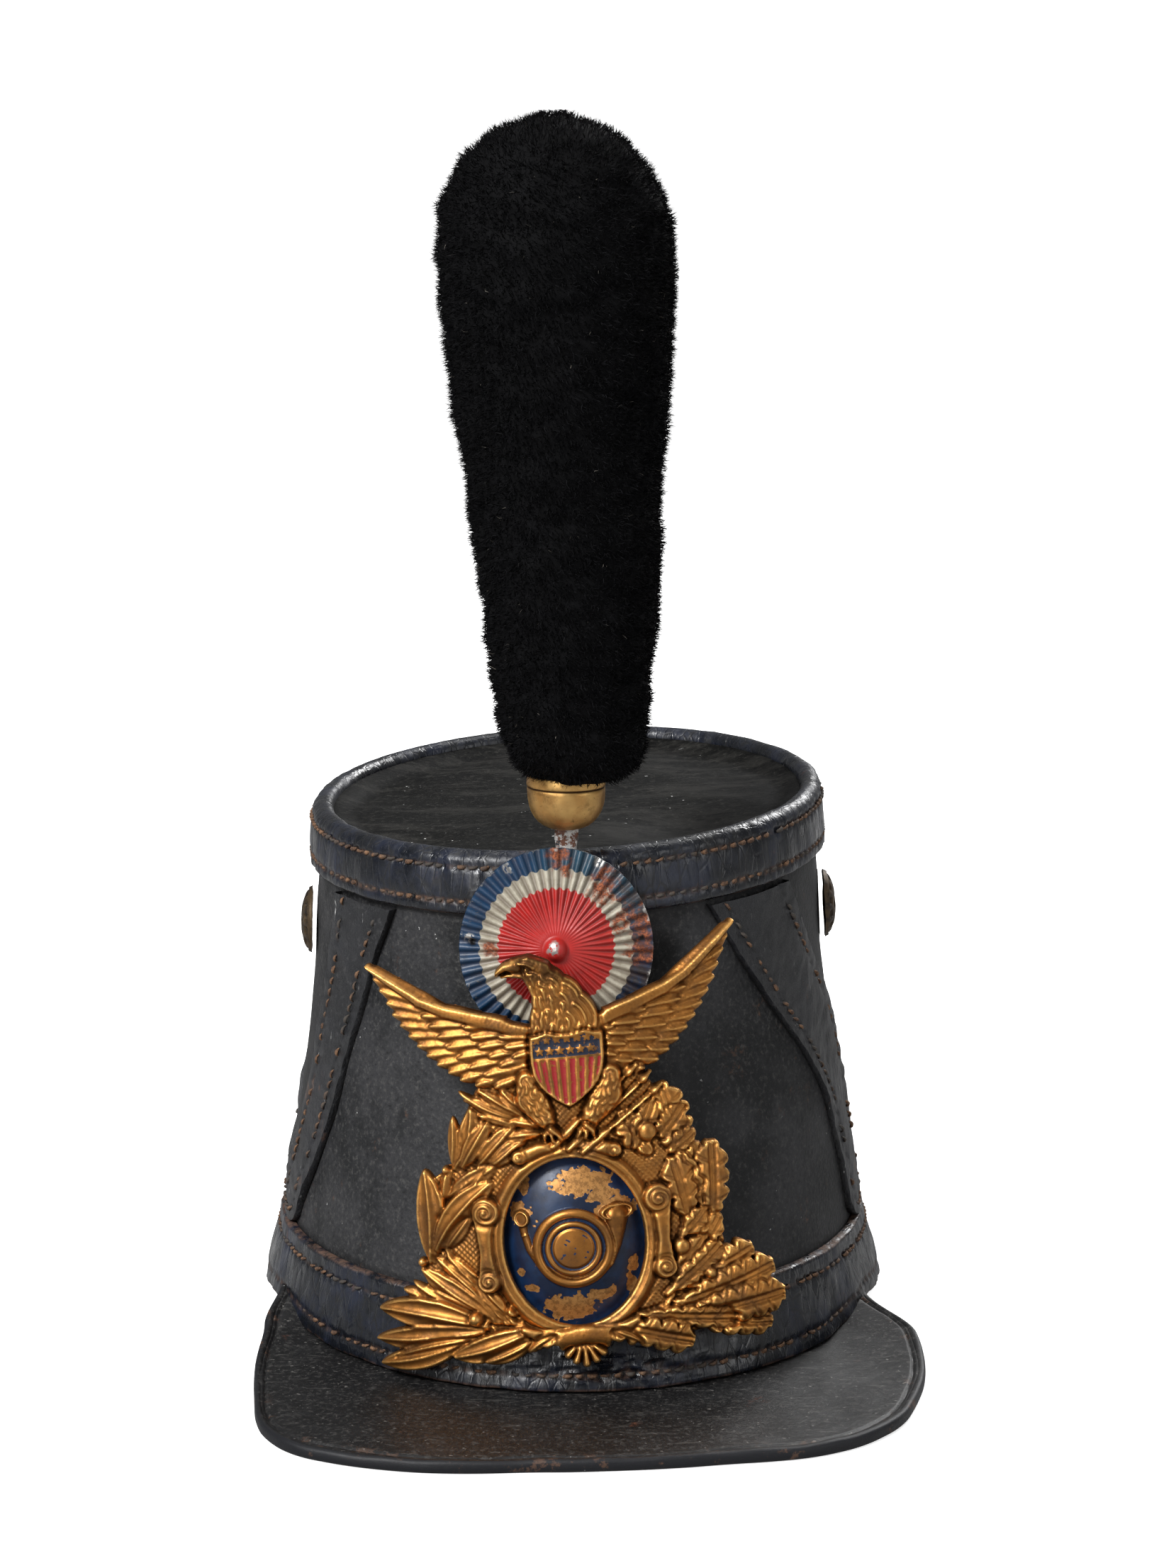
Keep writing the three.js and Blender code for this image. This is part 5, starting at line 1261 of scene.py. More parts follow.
OAK = table("u v tip_u tip_v half rise", [
    (29.4, 18.4, 24.8, 37.6, 4.8, 0.65), (24, 24, 30.8, 31.4, 3, 0.55),
    (26, 20, 33.6, 24.6, 2.6, 0.5), (21, 20, 14.6, 32, 3.8, 0.6),
    (17, 22, 23, 34, 2.4, 0.55), (31, 10, 33.8, 21.6, 2.4, 0.6),
    (35.6, -0.6, 37.4, 21.4, 4, 0.75), (33, 6, 28.4, 19.4, 2.6, 0.72),
    (30, 1, 26.6, 18.6, 3.4, 0.7), (31, -6, 38.4, 2.6, 2.8, 0.66),
    (27, -2, 34.6, 4.6, 2.3, 0.62), (24, -12, 34, -2.6, 2.6, 0.62),
    (25, -14.6, 47, -7.4, 3.4, 0.75), (22, -16, 38, -5, 2.4, 0.66),
    (24, -19, 52.6, -12.8, 3.8, 0.85), (27, -23, 51, -27.2, 3.2, 0.75),
    (25, -21.6, 55.2, -20.4, 3.8, 0.95), (14, -20, 40, -24.4, 2.4, 0.7),
    (8.6, -22, 28.6, -28.6, 3.4, 0.85)])
ACORNS = table("u v size rise", [(20.6, 26, 2.5, 0.9), (27, -4.2, 2.2, 0.85),
                                 (12.4, -26.6, 1.4, 0.6), (34, -12, 1.6, 0.95)])
SCALLOP_RIBS = 7


def ground(work):
    """Stippled sheet between the wreath and the moulding."""
    edge = [(-27.2, 34, 34), (-22, 50, 48), (-9, 41, 41), (17, 38, 37), (22, 29.4, 31),
            (31, 28, 29), (40, 23, 23), (47, 14, 14), (53, 6, 10)]
    levels = [row[0] for row in edge]
    left = -np.interp(work.v, levels, [row[1] for row in edge])
    right = np.interp(work.v, levels, [row[2] for row in edge])
    inside = np.minimum(work.u - left, right - work.u) * 0.8
    inside = np.minimum(np.minimum(inside, work.v - levels[0]), levels[-1] - work.v) - 0.9
    stipple = np.cos(2 * math.pi * work.u / 1.5) * np.cos(2 * math.pi * work.v / 1.5)
    work.cover(inside, 0.9 + 0.45 * stipple, 0.3, 0)


def moulding(work):
    """Oval frame: a fine bead, a hollow and a wide roll."""
    half_across, half_up = OPENING_WIDTH / 2, OPENING_HEIGHT / 2 / MODULE_UP
    reach = np.hypot(work.u / half_across, work.v / half_up)
    out = (reach - 1) * np.hypot(work.u, work.v) / np.maximum(reach, 0.1)
    bead = 0.55 * hill(out - 0.55, 0.42)
    roll = np.sqrt(np.clip(1 - ((out - 2.1) / 1.15) ** 2, 0, 1)) * 1.5
    outer = 0.5 * hill(out - 3.5, 0.35)
    form = 1.3 - 0.12 * out + bead + roll * 0.8 + outer
    work.cover(np.minimum(out + 0.3, 4 - out), form, 0.3, 0.5)
    return out


def scroll_columns(work):
    for side in (-1, 1):
        shaft = table("u v half", [(22.4 * side, 7.5, 2.9), (22.5 * side, 3, 2.1),
                                   (22.4 * side, -1.5, 1.8), (22.4 * side, -6.5, 2.5)])
        work.tube(shaft, 0.92, 0.7)
        work.volute(21.7 * side, 9, 3.7, 1.08, -side)
        work.volute(22.3 * side, -8.6, 3.1, 1.0, side, 1.35)
        roll = table("u v half", [(2.5 * side, 25, 1.3), (7 * side, 24.2, 1.7),
                                  (12 * side, 22.3, 1.9)])
        work.tube(roll, 0.85, 0.5)
        work.volute(12.2 * side, 22.3, 1.9, 0.92, side, 1.1)


def bracket(work):
    """Smooth bracket below the opening, its curled ends and the shell that hangs from it."""
    for rib in range(SCALLOP_RIBS):
        swing = math.radians(mix(-68, 68, rib / (SCALLOP_RIBS - 1)))
        reach = 6.9 - 0.9 * abs(math.sin(swing))
        work.shell_rib(0.4, -24.2, 0.4 + reach * math.sin(swing), -24.2 - reach * math.cos(swing))
    low = table("u v half", [(-14.5, -21.4, 1), (-10, -23.6, 1.9), (-5, -24.3, 2.3),
                             (0.4, -23.6, 2.3), (6, -24.3, 2.3), (10, -23.4, 1.9),
                             (14, -21, 1)])
    work.tube(low, 0.72, 0.6)
    for side in (-1, 1):
        work.volute(9.2 * side, -24.6, 2.1, 0.86, side, 1.2)
        work.knob(12.6 * side, -26.4, 1.1, 0.6)
    leaves = table("u v tip_u tip_v half rise bow", [
        (-7, -23.4, -14.4, -27.6, 1.4, 0.66, 0.06), (7.6, -23.4, 15, -27.4, 1.4, 0.66, -0.06)])
    for row in leaves:
        work.laurel(row)


def wing(work, side):
    """Web, four layers of feathers and the leading edge, on the left (-1) or right (1)."""
    def placed(rows):
        return rows if side < 0 else turned_over(rows)

    work.tube(placed(WING_WEB), 0.3, 0.9)
    for rows, rise, barb in ((PRIMARIES, 0.5, 1.15), (COVERTS, 0.55, 1.05),
                             (SMALL_COVERTS, 0.66, 1.0), (TINY_COVERTS, 0.74, 0.95)):
        for row in placed(rows):
            work.feather(row, rise, barb)
    work.tube(placed(WING_EDGE), 0.68, 0.75, 0.06, 1.1, 0.2)


def shield_field(work):
    """How far inside the shield."""
    middle = 2.2 + (work.v - 47) * 0.03
    depth = np.clip((47.5 - work.v) / 13.2, 0, 1)
    half = 9.3 * (1 - depth ** 2.3) ** 0.86
    top = 53.4 - 0.9 * np.abs(np.cos(math.pi * (work.u - 2.2) / 9.2)) + 0.3
    return np.minimum(np.minimum(half - np.abs(work.u - middle), top - work.v),
                      (work.v - 34.2) * 0.9)


def star(work, u, v, size=1.35):
    """How far inside a five-pointed star."""
    du, dv = work.u - u, work.v - v
    swing = (np.arctan2(du, dv) + math.pi / 5) % (2 * math.pi / 5) - math.pi / 5
    edge = size * (1 - 0.55 * np.abs(swing) / (math.pi / 5))
    return edge - np.hypot(du, dv)


def shield(work):
    """Domed shield with raised stripes and stars over painted grounds."""
    inside = shield_field(work)
    dome = 3.3 + 0.7 * np.sqrt(np.clip(1 - ((work.u - 2.2) / 10.5) ** 2, 0, 1))
    form = dome + 0.45 * ridge(inside - 0.5, 0.6) - 0.3 * smooth((inside - 0.9) / 0.4)
    work.cover(inside, form, 0.4, 1.0)
    field = smooth((inside - 0.95) / 0.25)
    chief = smooth((work.v - 47) / 0.3) * field
    bars = smooth((46.7 - work.v) / 0.3) * field
    raised = np.zeros(work.u.shape)
    for row in SHIELD_STRIPES:
        _, side, _ = work.along(row["u"], row["v"] + 0.6, row["tip_u"], row["tip_v"])
        raised = np.maximum(raised, smooth((0.62 - np.abs(side)) / 0.25) * bars)
    stars = np.zeros(work.u.shape)
    for row in STAR_ROWS:
        for n in range(row["count"]):
            inside_star = star(work, row["u"] + n * row["pitch"], row["v"])
            stars = np.maximum(stars, smooth(inside_star / 0.25))
    work.height += raised * 0.42 + stars * chief * 0.4
    work.height += 0.25 * (hill(work.v - 46.9, 0.3) * field)
    work.paint["blue"] = np.maximum(work.paint["blue"], chief * (1 - stars))
    work.paint["red"] = np.maximum(work.paint["red"], bars * (1 - raised))


def talons(work):
    """Feathered thighs, and three claws on each foot."""
    for side, u, v in ((-1, -3.4, 29.2), (1, 5.4, 29.4)):
        thigh = table("u v half", [(mix(-8.2, 12.4, side > 0), 41.6, 3.0),
                                   (mix(-7.4, 11.2, side > 0), 37, 4.3),
                                   (mix(-5.0, 7.8, side > 0), 32.6, 3.0), (u, v, 1.5)])
        work.scales(thigh, 1.0, 3.0, 1.2, 1.1)
        for toe in (-1, 0, 1):
            end_u, end_v = u + toe * 2.1 - side * 0.4, v - 3.4 + 0.5 * abs(toe)
            claw = table("u v half", [(u, v, 0.9), (u + toe * 1.5, v - 1.4, 0.85),
                                      (end_u, end_v, 0.45)])
            work.tube(claw, 1.0, 0.5, 0.06, 0.9)


def arrows(work):
    """Arrows with a vane at the foot and a leaf-shaped head."""
    for row in ARROWS:
        rod = table("u v half", [(row["u"], row["v"], 0.55), (row["tip_u"], row["tip_v"], 0.55)])
        work.tube(rod, 0.74, 0.5)
        across, up = row["tip_u"] - row["u"], row["tip_v"] - row["v"]
        vane = {"u": row["u"] - 0.02 * across, "v": row["v"] - 0.02 * up,
                "tip_u": row["u"] + 0.36 * across, "tip_v": row["v"] + 0.36 * up,
                "half": 1.35, "widest": 0.4}
        work.feather(vane, 0.74, 1.0)
        head = {"u": mix(row["u"], row["tip_u"], 0.86), "v": mix(row["v"], row["tip_v"], 0.86),
                "tip_u": row["tip_u"], "tip_v": row["tip_v"], "half": 1.2, "rise": 0.8,
                "widest": 0.3}
        work.laurel(head)


def head(work):
    """Neck with its hackles, jaw, crown, beak, brow and eye."""
    work.scales(NECK[::-1], 1.08, 4.4, 1.35, 1.3)
    mask = (work.path(NECK)[2] > 0) * 1.0
    flow = work.u * 0.75 + 1.6 * np.sin(work.v / 3.1)
    work.height += 0.14 * np.cos(2 * math.pi * flow / 1.2) * mask
    work.tube(JAW, 0.86, 0.5, groove=0.5)
    work.tube(CROWN_OF_HEAD, 1.16, 0.75, 0.12, 1.1, 0.2)
    work.tube(BEAK, 1.06, 0.45, groove=0.5)
    brow = table("u v half", [(-7.8, 71.4, 0.5), (-5.6, 70.9, 0.6), (-4, 69.9, 0.5)])
    work.tube(brow, 1.3, 0.7, groove=0.3)
    work.knob(-5.9, 69.5, 0.8, 1.12)


def draw_plate():
    work = Relief(*PLATE_FIELD)
    ground(work)
    work.tube(STEMS, 0.42, 0.4)
    work.tube(OAK_STEMS, 0.42, 0.4)
    for row in LAUREL:
        work.laurel({**row, "half": row["half"] * LAUREL_FULLER})
    for row in OAK:
        work.oak(row)
    for row in BERRIES + ACORNS:
        work.knob(row["u"], row["v"], row["size"], row["rise"])
    rim_out = moulding(work)
    scroll_columns(work)
    bracket(work)
    for row in SPRIG:
        work.laurel(row)
    for side in (-1, 1):
        wing(work, side)
    arrows(work)
    talons(work)
    head(work)
    shield(work)
    work.inside = np.minimum(work.inside, rim_out)
    work.soften()
    work.height += wobble(np.stack([work.u, work.v, 0 * work.u], -1), 5, 51) * 0.06
    return work


def make_plate():
    work = draw_plate()
    # hollow and deep mark the recesses, which the finish browns as grime and painted shade; crest
    # marks the rims, which it lightens as polish and painted highlight
    hollow, crest = work.hollows(5)
    deep = work.hollows(16)[0]
    dark = smooth((work.v - 64) / 4) * smooth((work.u + 12.5) / 4) * smooth((6 - work.u) / 3)
    marks = {"hollow": np.clip(0.6 * hollow + 0.4 * deep, 0, 1), "crest": crest, "dark": dark,
             **work.paint}
    points, faces, kept = work.mesh(plate_point, PLATE_BACK * 0.85, 1.5, marks)
    piece("stamped_eagle_plate", points, faces, GILT, ["eagle_plate"], kept,
          crease=0)


# Medallion with its horn, in mm from its middle
MEDALLION_DOME = 4.2
MEDALLION_SHEET = 1.2
MEDALLION_FLANGE = 1.6
MEDALLION_LOW = PLATE_BACK - CLEARANCE - 0.6
MEDALLION_GRID = 0.21
HORN = table("u v half", [(-13, 6.2, 1.35), (-12.6, 3.2, 1.0), (-11.4, -1.2, 1.0),
                          (-8.6, -5.8, 1.05), (-4.6, -8.8, 1.1), (0, -10, 1.15),
                          (4.6, -8.8, 1.3), (8, -5.6, 1.5), (10, -1.2, 1.8), (10.9, 3, 2.4),
                          (11.2, 6, 3.3)])
HORN_RINGS = ((6.4, 0.75), (9.1, 1.25))
HORN_COIL = (-0.4, -1.4)


def draw_medallion():
    """Relief of the disc, where it is gilt, the dome under it and the flat of its middle."""
    half_across = OPENING_WIDTH / 2 - CLEARANCE
    half_up = OPENING_HEIGHT / 2 - CLEARANCE
    wide = MEDALLION_FLANGE + CLEARANCE
    end_across, end_up = half_across + wide + 0.6, half_up + wide + 0.6
    work = Relief(-end_across, end_across, -end_up, end_up, MEDALLION_GRID)
    reach = np.hypot(work.u / half_across, work.v / half_up)
    rise = eased(reach, [0, 0.28, 0.55, 0.76, 0.94, 1], [1, 0.93, 0.76, 0.5, 0.12, 0], 0.04)
    dome = MEDALLION_LOW + (MEDALLION_DOME - MEDALLION_LOW) * 0.82 * rise
    edge = np.hypot(work.u / (half_across + wide), work.v / (half_up + wide))
    work.inside = (1 - edge) * np.hypot(work.u, work.v) / np.maximum(edge, 0.1)
    gilt = np.zeros(work.u.shape)
    away = np.hypot(work.u - HORN_COIL[0], work.v - HORN_COIL[1])
    for radius, half in HORN_RINGS:
        ring = np.clip(1 - ((away - radius) / half) ** 2, 0, 1)
        work.height += 1.2 * np.sqrt(ring) * half
        gilt = np.maximum(gilt, smooth(ring * 4))
    work.height += 0.35 * smooth((5.2 - away) / 0.5)
    gilt = np.maximum(gilt, smooth((5.4 - away) / 0.4))
    run, side, inside = work.path(HORN)
    width = np.interp(run, Relief.runs(HORN), [row["half"] for row in HORN])
    clear_coil = smooth((away - 10) / 0.5)
    body = np.sqrt(np.clip(1 - side ** 2, 0, 1)) * width * 0.95 * clear_coil
    bands = sum(0.28 * ridge(run - place, 0.5) for place in (3.6, 30.5, 32))
    work.height += body + bands * (inside > 0) * clear_coil
    gilt = np.maximum(gilt, smooth(inside / 0.4 + 0.6) * (inside > -0.3))
    bell = np.hypot((work.u - 11.2) / 4.4, (work.v - 7.0) / 2.0)
    bell_form = 1.7 + 0.9 * ridge(bell - 0.88, 0.16) - 0.5 * smooth((0.8 - bell) / 0.3)
    work.height += np.maximum(bell_form - body, 0) * smooth((1.05 - bell) * 8)
    mouth = np.hypot(work.u + 13, work.v - 6.9)
    mouth_form = 1.5 + 0.55 * ridge(mouth - 1.7, 0.4)
    work.height += np.maximum(mouth_form - body, 0) * smooth((2.3 - mouth) * 3)
    gilt = np.maximum.reduce([gilt, smooth((1.08 - bell) * 10), smooth((2.4 - mouth) * 3)])
    return work, gilt, dome, away < 4.4


# Patches where the blue has flaked off: place and half sizes
BARE_PATCHES = [(3.6, 15, 7.4, 3.6), (7.4, 11.4, 3.6, 2.2), (-13.2, 8, 3.4, 3.2),
                (11, 7, 5.6, 3.6), (-2, -17, 7.4, 3.6), (5.6, -14.2, 4.6, 1.8),
                (-11.8, 15, 1.6, 2.4), (-14.6, -7.2, 1.0, 1.0), (14.4, -7.4, 1.6, 2.4),
                (-12, -11.6, 2.2, 1.0), (13.6, -12.4, 1.4, 3.0)]


def make_medallion():
    work, gilt, dome, flat = draw_medallion()
    spots = np.stack([work.u, work.v, 0 * work.u], -1)
    ragged = wobble(spots, 3.2, 61) + 0.6 * wobble(spots, 1.1, 62)
    bare = np.zeros(work.u.shape)
    for u, v, across, up in BARE_PATCHES:
        away = np.hypot((work.u - u) / across, (work.v - v) / up) + 0.24 * ragged
        bare = np.maximum(bare, smooth((1 - away) / 0.05))
    work.height -= 0.08 * bare * (1 - gilt)
    hollow, crest = work.hollows(5)
    work.height += dome
    left_over = smooth((ragged - 0.95) / 0.15) * flat
    blue = np.clip(np.maximum(1 - np.maximum(gilt, bare), left_over), 0, 1)
    # The finish browns the hollows as grime and painted shade and lightens the crests as polish and
    # painted highlight
    marks = {"hollow": hollow * gilt, "crest": crest, "blue": blue, "bare": bare * (1 - gilt)}
    points, faces, kept = work.mesh(lambda u, v, height: plate_point(u, v / MODULE_UP, height),
                                    MEDALLION_LOW - MEDALLION_SHEET, 1.4, marks)
    piece("enamel_medallion", points, faces, ENAMEL, ["medallion"], kept,
          crease=0)


def gilded(start, patches=1.0):
    """Colour and roughness of worn gilding: crests lightened as rubbed polish and painted
    highlight, hollows browned as grime and painted shade, dull spots.
    """
    hollow, crest = start.mark("hollow"), start.mark("crest")
    tarnish = start.noise(8, 5, 0.65)
    fine = start.noise(1.3, 5, 0.75)
    base = tarnish.step(0.35, 0.65).blend(colour(170, 114, 56), colour(136, 92, 50))
    # Crests lightened: rubbed polish and painted highlight
    base = (crest.step(0.05, 0.8) * 0.75).blend(base, colour(232, 178, 102))
    dull = tarnish.step(0.5, 0.66) * fine.step(0.4, 0.6) * 0.6 * patches
    base = dull.blend(base, colour(112, 80, 52))
    base = (fine.step(0.58, 0.68) * 0.5).blend(base, colour(78, 52, 30))
    # Hollows browned: grime and painted shade
    brown = hollow.step(0.08, 0.9)
    base = (brown * 0.92).blend(base, colour(56, 32, 14))
    return base, 0.32 + fine * 0.2 + brown * 0.25 + dull * 0.2, fine


def gilt_plate(start):
    """Gilding with chipped blue and red paint on the shield and a brown head."""
    base, roughness, fine = gilded(start)
    chips = start.noise(1.3, 4, 0.65).step(0.58, 0.63)
    blue = start.mark("blue").step(0.35, 0.65) * (1 - chips * 0.75)
    red = start.mark("red").step(0.35, 0.65) * (1 - chips * 0.8)
    base = blue.blend(base, colour(9, 17, 38))
    base = red.blend(base, colour(138, 13, 15))
    brown = start.mark("dark") * start.noise(4, 4).step(0.25, 0.5) * 0.8
    base = brown.blend(base, colour(84, 58, 36))
    paint = blue.math("MAXIMUM", red)
    normal = start.bump(0.5, 0.15, fine, start.bump(0.25, 0.3, start.noise(2.2, 3, 0.6)))
    return principled(start, base_color=base, metallic=1 - paint * 0.95,
                      roughness=roughness + paint * 0.15, normal=normal)


def enamelled(start):
    """Navy enamel over gilding, flaked to a dull grainy gold in patches."""
    base, roughness, fine = gilded(start, 0.7)
    chips = start.noise(1.6, 4, 0.65).step(0.7, 0.72)
    blue = start.mark("blue").step(0.4, 0.6) * (1 - chips * 0.8)
    navy = start.noise(6, 4).step(0.35, 0.65).blend(colour(5, 20, 44), colour(9, 36, 68))
    bare = start.mark("bare").step(0.4, 0.6)
    base = (bare * 0.7).blend(base, colour(188, 140, 82))
    base = (bare * fine.step(0.46, 0.58) * 0.6).blend(base, colour(104, 70, 38))
    base = blue.blend(base, navy)
    normal = start.bump(0.2, 0.1, fine, start.bump(0.2, 0.25, start.noise(3, 3, 0.5)))
    covered = (blue * 0.97 + bare * 0.35).math("MINIMUM", 0.97)
    return principled(start, base_color=base, metallic=1 - covered,
                      roughness=roughness + bare * 0.12, specular_ior_level=0.45, normal=normal)


GILT = finish("gilt_brass", gilt_plate)
ENAMEL = finish("blue_enamel", enamelled)

make_plate()
make_medallion()
post_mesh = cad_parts["plate_post"].data
post_mesh.materials.clear()
post_mesh.materials.append(GILT)


# Cockade: a pleated painted disc with a boss
COCKADE_PLEATS = 48
COCKADE_CONE = 5.0
COCKADE_SHEET = 0.9
COCKADE_BOSS_HEIGHT = 2.5
COCKADE_BOSS_RADIUS = 3.0
COCKADE_UPRIGHT = 4.15
COCKADE_LOWERED = 1.7
COCKADE_NARROWED = 0.97
PLEAT_DEPTH = 1.1
RED_REACH = 0.6
WHITE_REACH = 0.79
# Sewing holes: place on the disc seen from the front, and size
SEWING_HOLES = [(-0.86, 0.06, 1.0), (0.885, 0.1, 0.8)]
RUST_SPOTS = [(0.02, 0.93, 0.13), (0.5, 0.62, 0.16), (0.42, 0.5, 0.1), (0.72, 0.3, 0.16),
              (0.9, 0.2, 0.18), (0.62, 0.2, 0.1), (0.92, -0.02, 0.15), (0.8, 0.0, 0.1),
              (-0.68, -0.02, 0.08), (0.1, 0.78, 0.08)]
BARE_SPOTS = [(-0.04, 0.02, 0.07), (-0.13, -0.6, 0.045), (-0.11, -0.7, 0.04),
              (-0.5, 0.8, 0.05), (0.45, 0.86, 0.05), (-0.9, 0.1, 0.05)]


def ragged_spots(across, rise, radius, spots, ragged, seed):
    """1 inside irregular spots of the disc, 0 outside them."""
    points = np.stack([across, rise, 0 * across], -1) * radius
    noise = wobble(points, 3.0, seed) + 0.6 * wobble(points, 1.1, seed + 1)
    found = np.zeros(across.shape)
    for at_across, at_rise, size in spots:
        away = np.hypot(across - at_across, rise - at_rise) / size + ragged * noise
        found = np.maximum(found, smooth((1.1 - away) / 0.5))
    return found


def make_cockade():
    """Pleated cone with a boss, leaning with the body's front."""
    low, high = (in_hat(corner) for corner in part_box("cockade"))
    radius = (high[0] - low[0]) / 2
    lean = math.radians(front_lean() - COCKADE_UPRIGHT)
    centre = np.array([(low[0] + high[0]) / 2,
                       high[1] - radius * math.sin(lean)
                       - (COCKADE_SHEET + PLEAT_DEPTH / 2) * math.cos(lean),
                       (low[2] + high[2]) / 2])
    up = np.array([0, math.sin(lean), math.cos(lean)])
    front = np.array([0, -math.cos(lean), math.sin(lean)])
    centre = centre - up * COCKADE_LOWERED
    reach = np.concatenate([np.linspace(0, 0.2, 12), np.linspace(0.22, 0.985, 28), [0.995, 1.0]])
    turns = np.radians(np.arange(0, 360, 0.75))
    turn, share = np.meshgrid(turns, reach, indexing="ij")
    wave = np.cos(COCKADE_PLEATS * turn)
    sharp = squarish(wave, 0.75)
    across, rise = share * np.sin(turn), share * np.cos(turn)
    spots = np.stack([across, rise, 0 * share], -1)
    depth = PLEAT_DEPTH / 2 * smooth((share - 0.12) / 0.45) * mix(0.55, 1, share)
    from_boss = share * radius / COCKADE_BOSS_RADIUS
    boss = COCKADE_BOSS_HEIGHT * np.sqrt(np.clip(1 - from_boss ** 2, 0, 1))
    height = COCKADE_CONE * (1 - share) * 0.96 + boss * 0.85 + depth * sharp
    height += wobble(spots * radius, 14, 71) * 0.35 * smooth(share * 2)
    height += wobble(spots * radius, 4, 72) * 0.07
    height -= 0.18 * ridge(share * radius - COCKADE_BOSS_RADIUS - 0.3, 0.7)
    # Sewing holes, pressed in here and darkened in the finish as painted shade
    dark = np.zeros(share.shape)
    for at_across, at_rise, size in SEWING_HOLES:
        away = np.hypot(across - at_across, rise - at_rise) * radius / size
        dark = np.maximum(dark, smooth((1.15 - away) / 0.3))
        height -= 0.9 * smooth(1.2 - away)
    rust = ragged_spots(across, rise, radius, RUST_SPOTS, 0.4, 73)
    bare = ragged_spots(across, rise, radius, BARE_SPOTS, 0.3, 75)
    spoke = up * rise[..., None] + np.array([COCKADE_NARROWED, 0, 0]) * across[..., None]
    face = centre + spoke * radius + front * height[..., None]
    points, faces = two_sheets(face, face - front * COCKADE_SHEET,
                               grid_faces(len(turns), len(reach), True))
    count = share.size
    last = np.arange(len(turns)) * len(reach) + len(reach) - 1
    ahead = np.roll(last, -1)
    rim = np.stack([last, last + count, ahead + count, ahead], 1)
    marks = {"reach": share + 0.012 * sharp, "pleat": sharp, "rust": rust, "bare": bare,
             "hole": dark, "right": across, "high": rise}
    doubled = {name: np.stack([value] * 2) for name, value in marks.items()}
    piece("painted_cockade", points, np.concatenate([faces, rim[:, ::-1]]), COCKADE_PAINT,
          ["cockade"], doubled, crease=0)


def cockade_paint(start):
    """Red, off-white and blue rings over tin, rusty and chipped, dirty on the right, with painted
    shade in the pleat valleys and the sewing holes.
    """
    reach, pleat, right = start.mark("reach"), start.mark("pleat"), start.mark("right")
    fine, dirt = start.noise(0.7, 4, 0.7), start.noise(4, 5, 0.7)
    # Pleat valleys, darkened below as painted shade
    valley = (1 - pleat.step(-0.9, 0.3))
    red = dirt.step(0.3, 0.7).blend(colour(172, 29, 25), colour(150, 29, 26))
    red = (right.step(-0.1, 0.5) * 0.45).blend(red, colour(150, 48, 42))
    white = dirt.step(0.35, 0.7).blend(colour(170, 164, 148), colour(138, 130, 114))
    # Painted shade: the off-white darker in the pleat valleys
    white = (valley * 0.5).blend(white, colour(104, 92, 78))
    teal = start.mark("high").step(0.0, 0.5) * right.step(-0.4, 0.1)
    blue = teal.blend(colour(12, 48, 78), colour(18, 56, 74))
    blue = (dirt.step(0.42, 0.66) * 0.6).blend(blue, colour(20, 32, 46))
    blue = (right.step(0.3, 0.7) * dirt.step(0.3, 0.56) * 0.9).blend(blue, colour(46, 38, 36))
    scrape = start.noise(2.0, 5, 0.75).step(0.6, 0.68) * reach.step(0.8, 0.9)
    blue = (scrape * 0.6).blend(blue, colour(96, 92, 88))
    white_part = (reach + dirt * 0.012).step(RED_REACH + 0.004, RED_REACH + 0.012)
    blue_part = (reach + fine * 0.012).step(WHITE_REACH + 0.004, WHITE_REACH + 0.014)
    base = blue_part.blend(white_part.blend(red, white), blue)
    rust = (start.mark("rust") * dirt.step(0.3, 0.62) * 1.3).math("MINIMUM", 1.0)
    rust_colour = fine.step(0.4, 0.62).blend(colour(84, 42, 26), colour(150, 82, 48))
    base = rust.blend(base, rust_colour)
    chip = start.mark("bare") * start.noise(1.2, 3).step(0.42, 0.5)
    edge = reach.step(0.97, 0.99) * dirt.step(0.54, 0.62) * 0.7
    bare = chip.math("MAXIMUM", edge)
    base = bare.blend(base, colour(176, 174, 170))
    # Dark fine specks, and painted shade in the pleat valleys
    specks_and_valley_shade = fine.step(0.6, 0.72) * 0.35 + valley * reach.step(0.1, 0.5) * 0.22
    base = specks_and_valley_shade.blend(base, colour(60, 44, 40))
    # Painted shade in the sewing holes
    base = start.mark("hole").blend(base, colour(14, 12, 12))
    rough = 0.36 + dirt * 0.16 + rust * 0.4
    normal = start.bump(0.35, 0.12, fine, start.bump(0.3, 0.25, dirt))
    return principled(start, base_color=base, metallic=bare * 0.8, roughness=rough,
                      specular_ior_level=0.5, normal=normal)


def turned(profile, columns, middle):
    """Closed lathe shape round an upright axis; rows give radius and height."""
    profile = np.array(profile, float)
    turns = np.radians(np.arange(columns) * 360 / columns)
    ring = np.stack([np.cos(turns), np.sin(turns), 0 * turns], -1)
    points = profile[:, None, :1] * ring[None] + np.array([0, 0, 1.0]) * profile[:, None, 1:]
    return points + middle, grid_faces(len(profile), columns, False, True)


# Share of the cup's half width, and of its height
CUP_PROFILE = [(0, 0), (0.14, 0), (0.3, 0.01), (0.46, 0.04), (0.6, 0.09), (0.72, 0.155),
               (0.82, 0.24), (0.9, 0.34), (0.95, 0.45), (0.98, 0.57), (0.99, 0.7), (0.99, 0.76),
               (0.965, 0.775), (0.965, 0.79), (0.995, 0.805), (1.0, 0.83), (1.0, 0.97),
               (0.98, 1.0), (0.86, 1.0), (0.82, 0.97), (0.74, 0.8), (0.4, 0.79), (0, 0.79)]
CUP_SEAM = 0.785
CUP_RAISED = 2.3
CUP_WIDENED = 1.06
CUP_HEIGHTENED = 1.1
STEM_UPRIGHT = 5.65


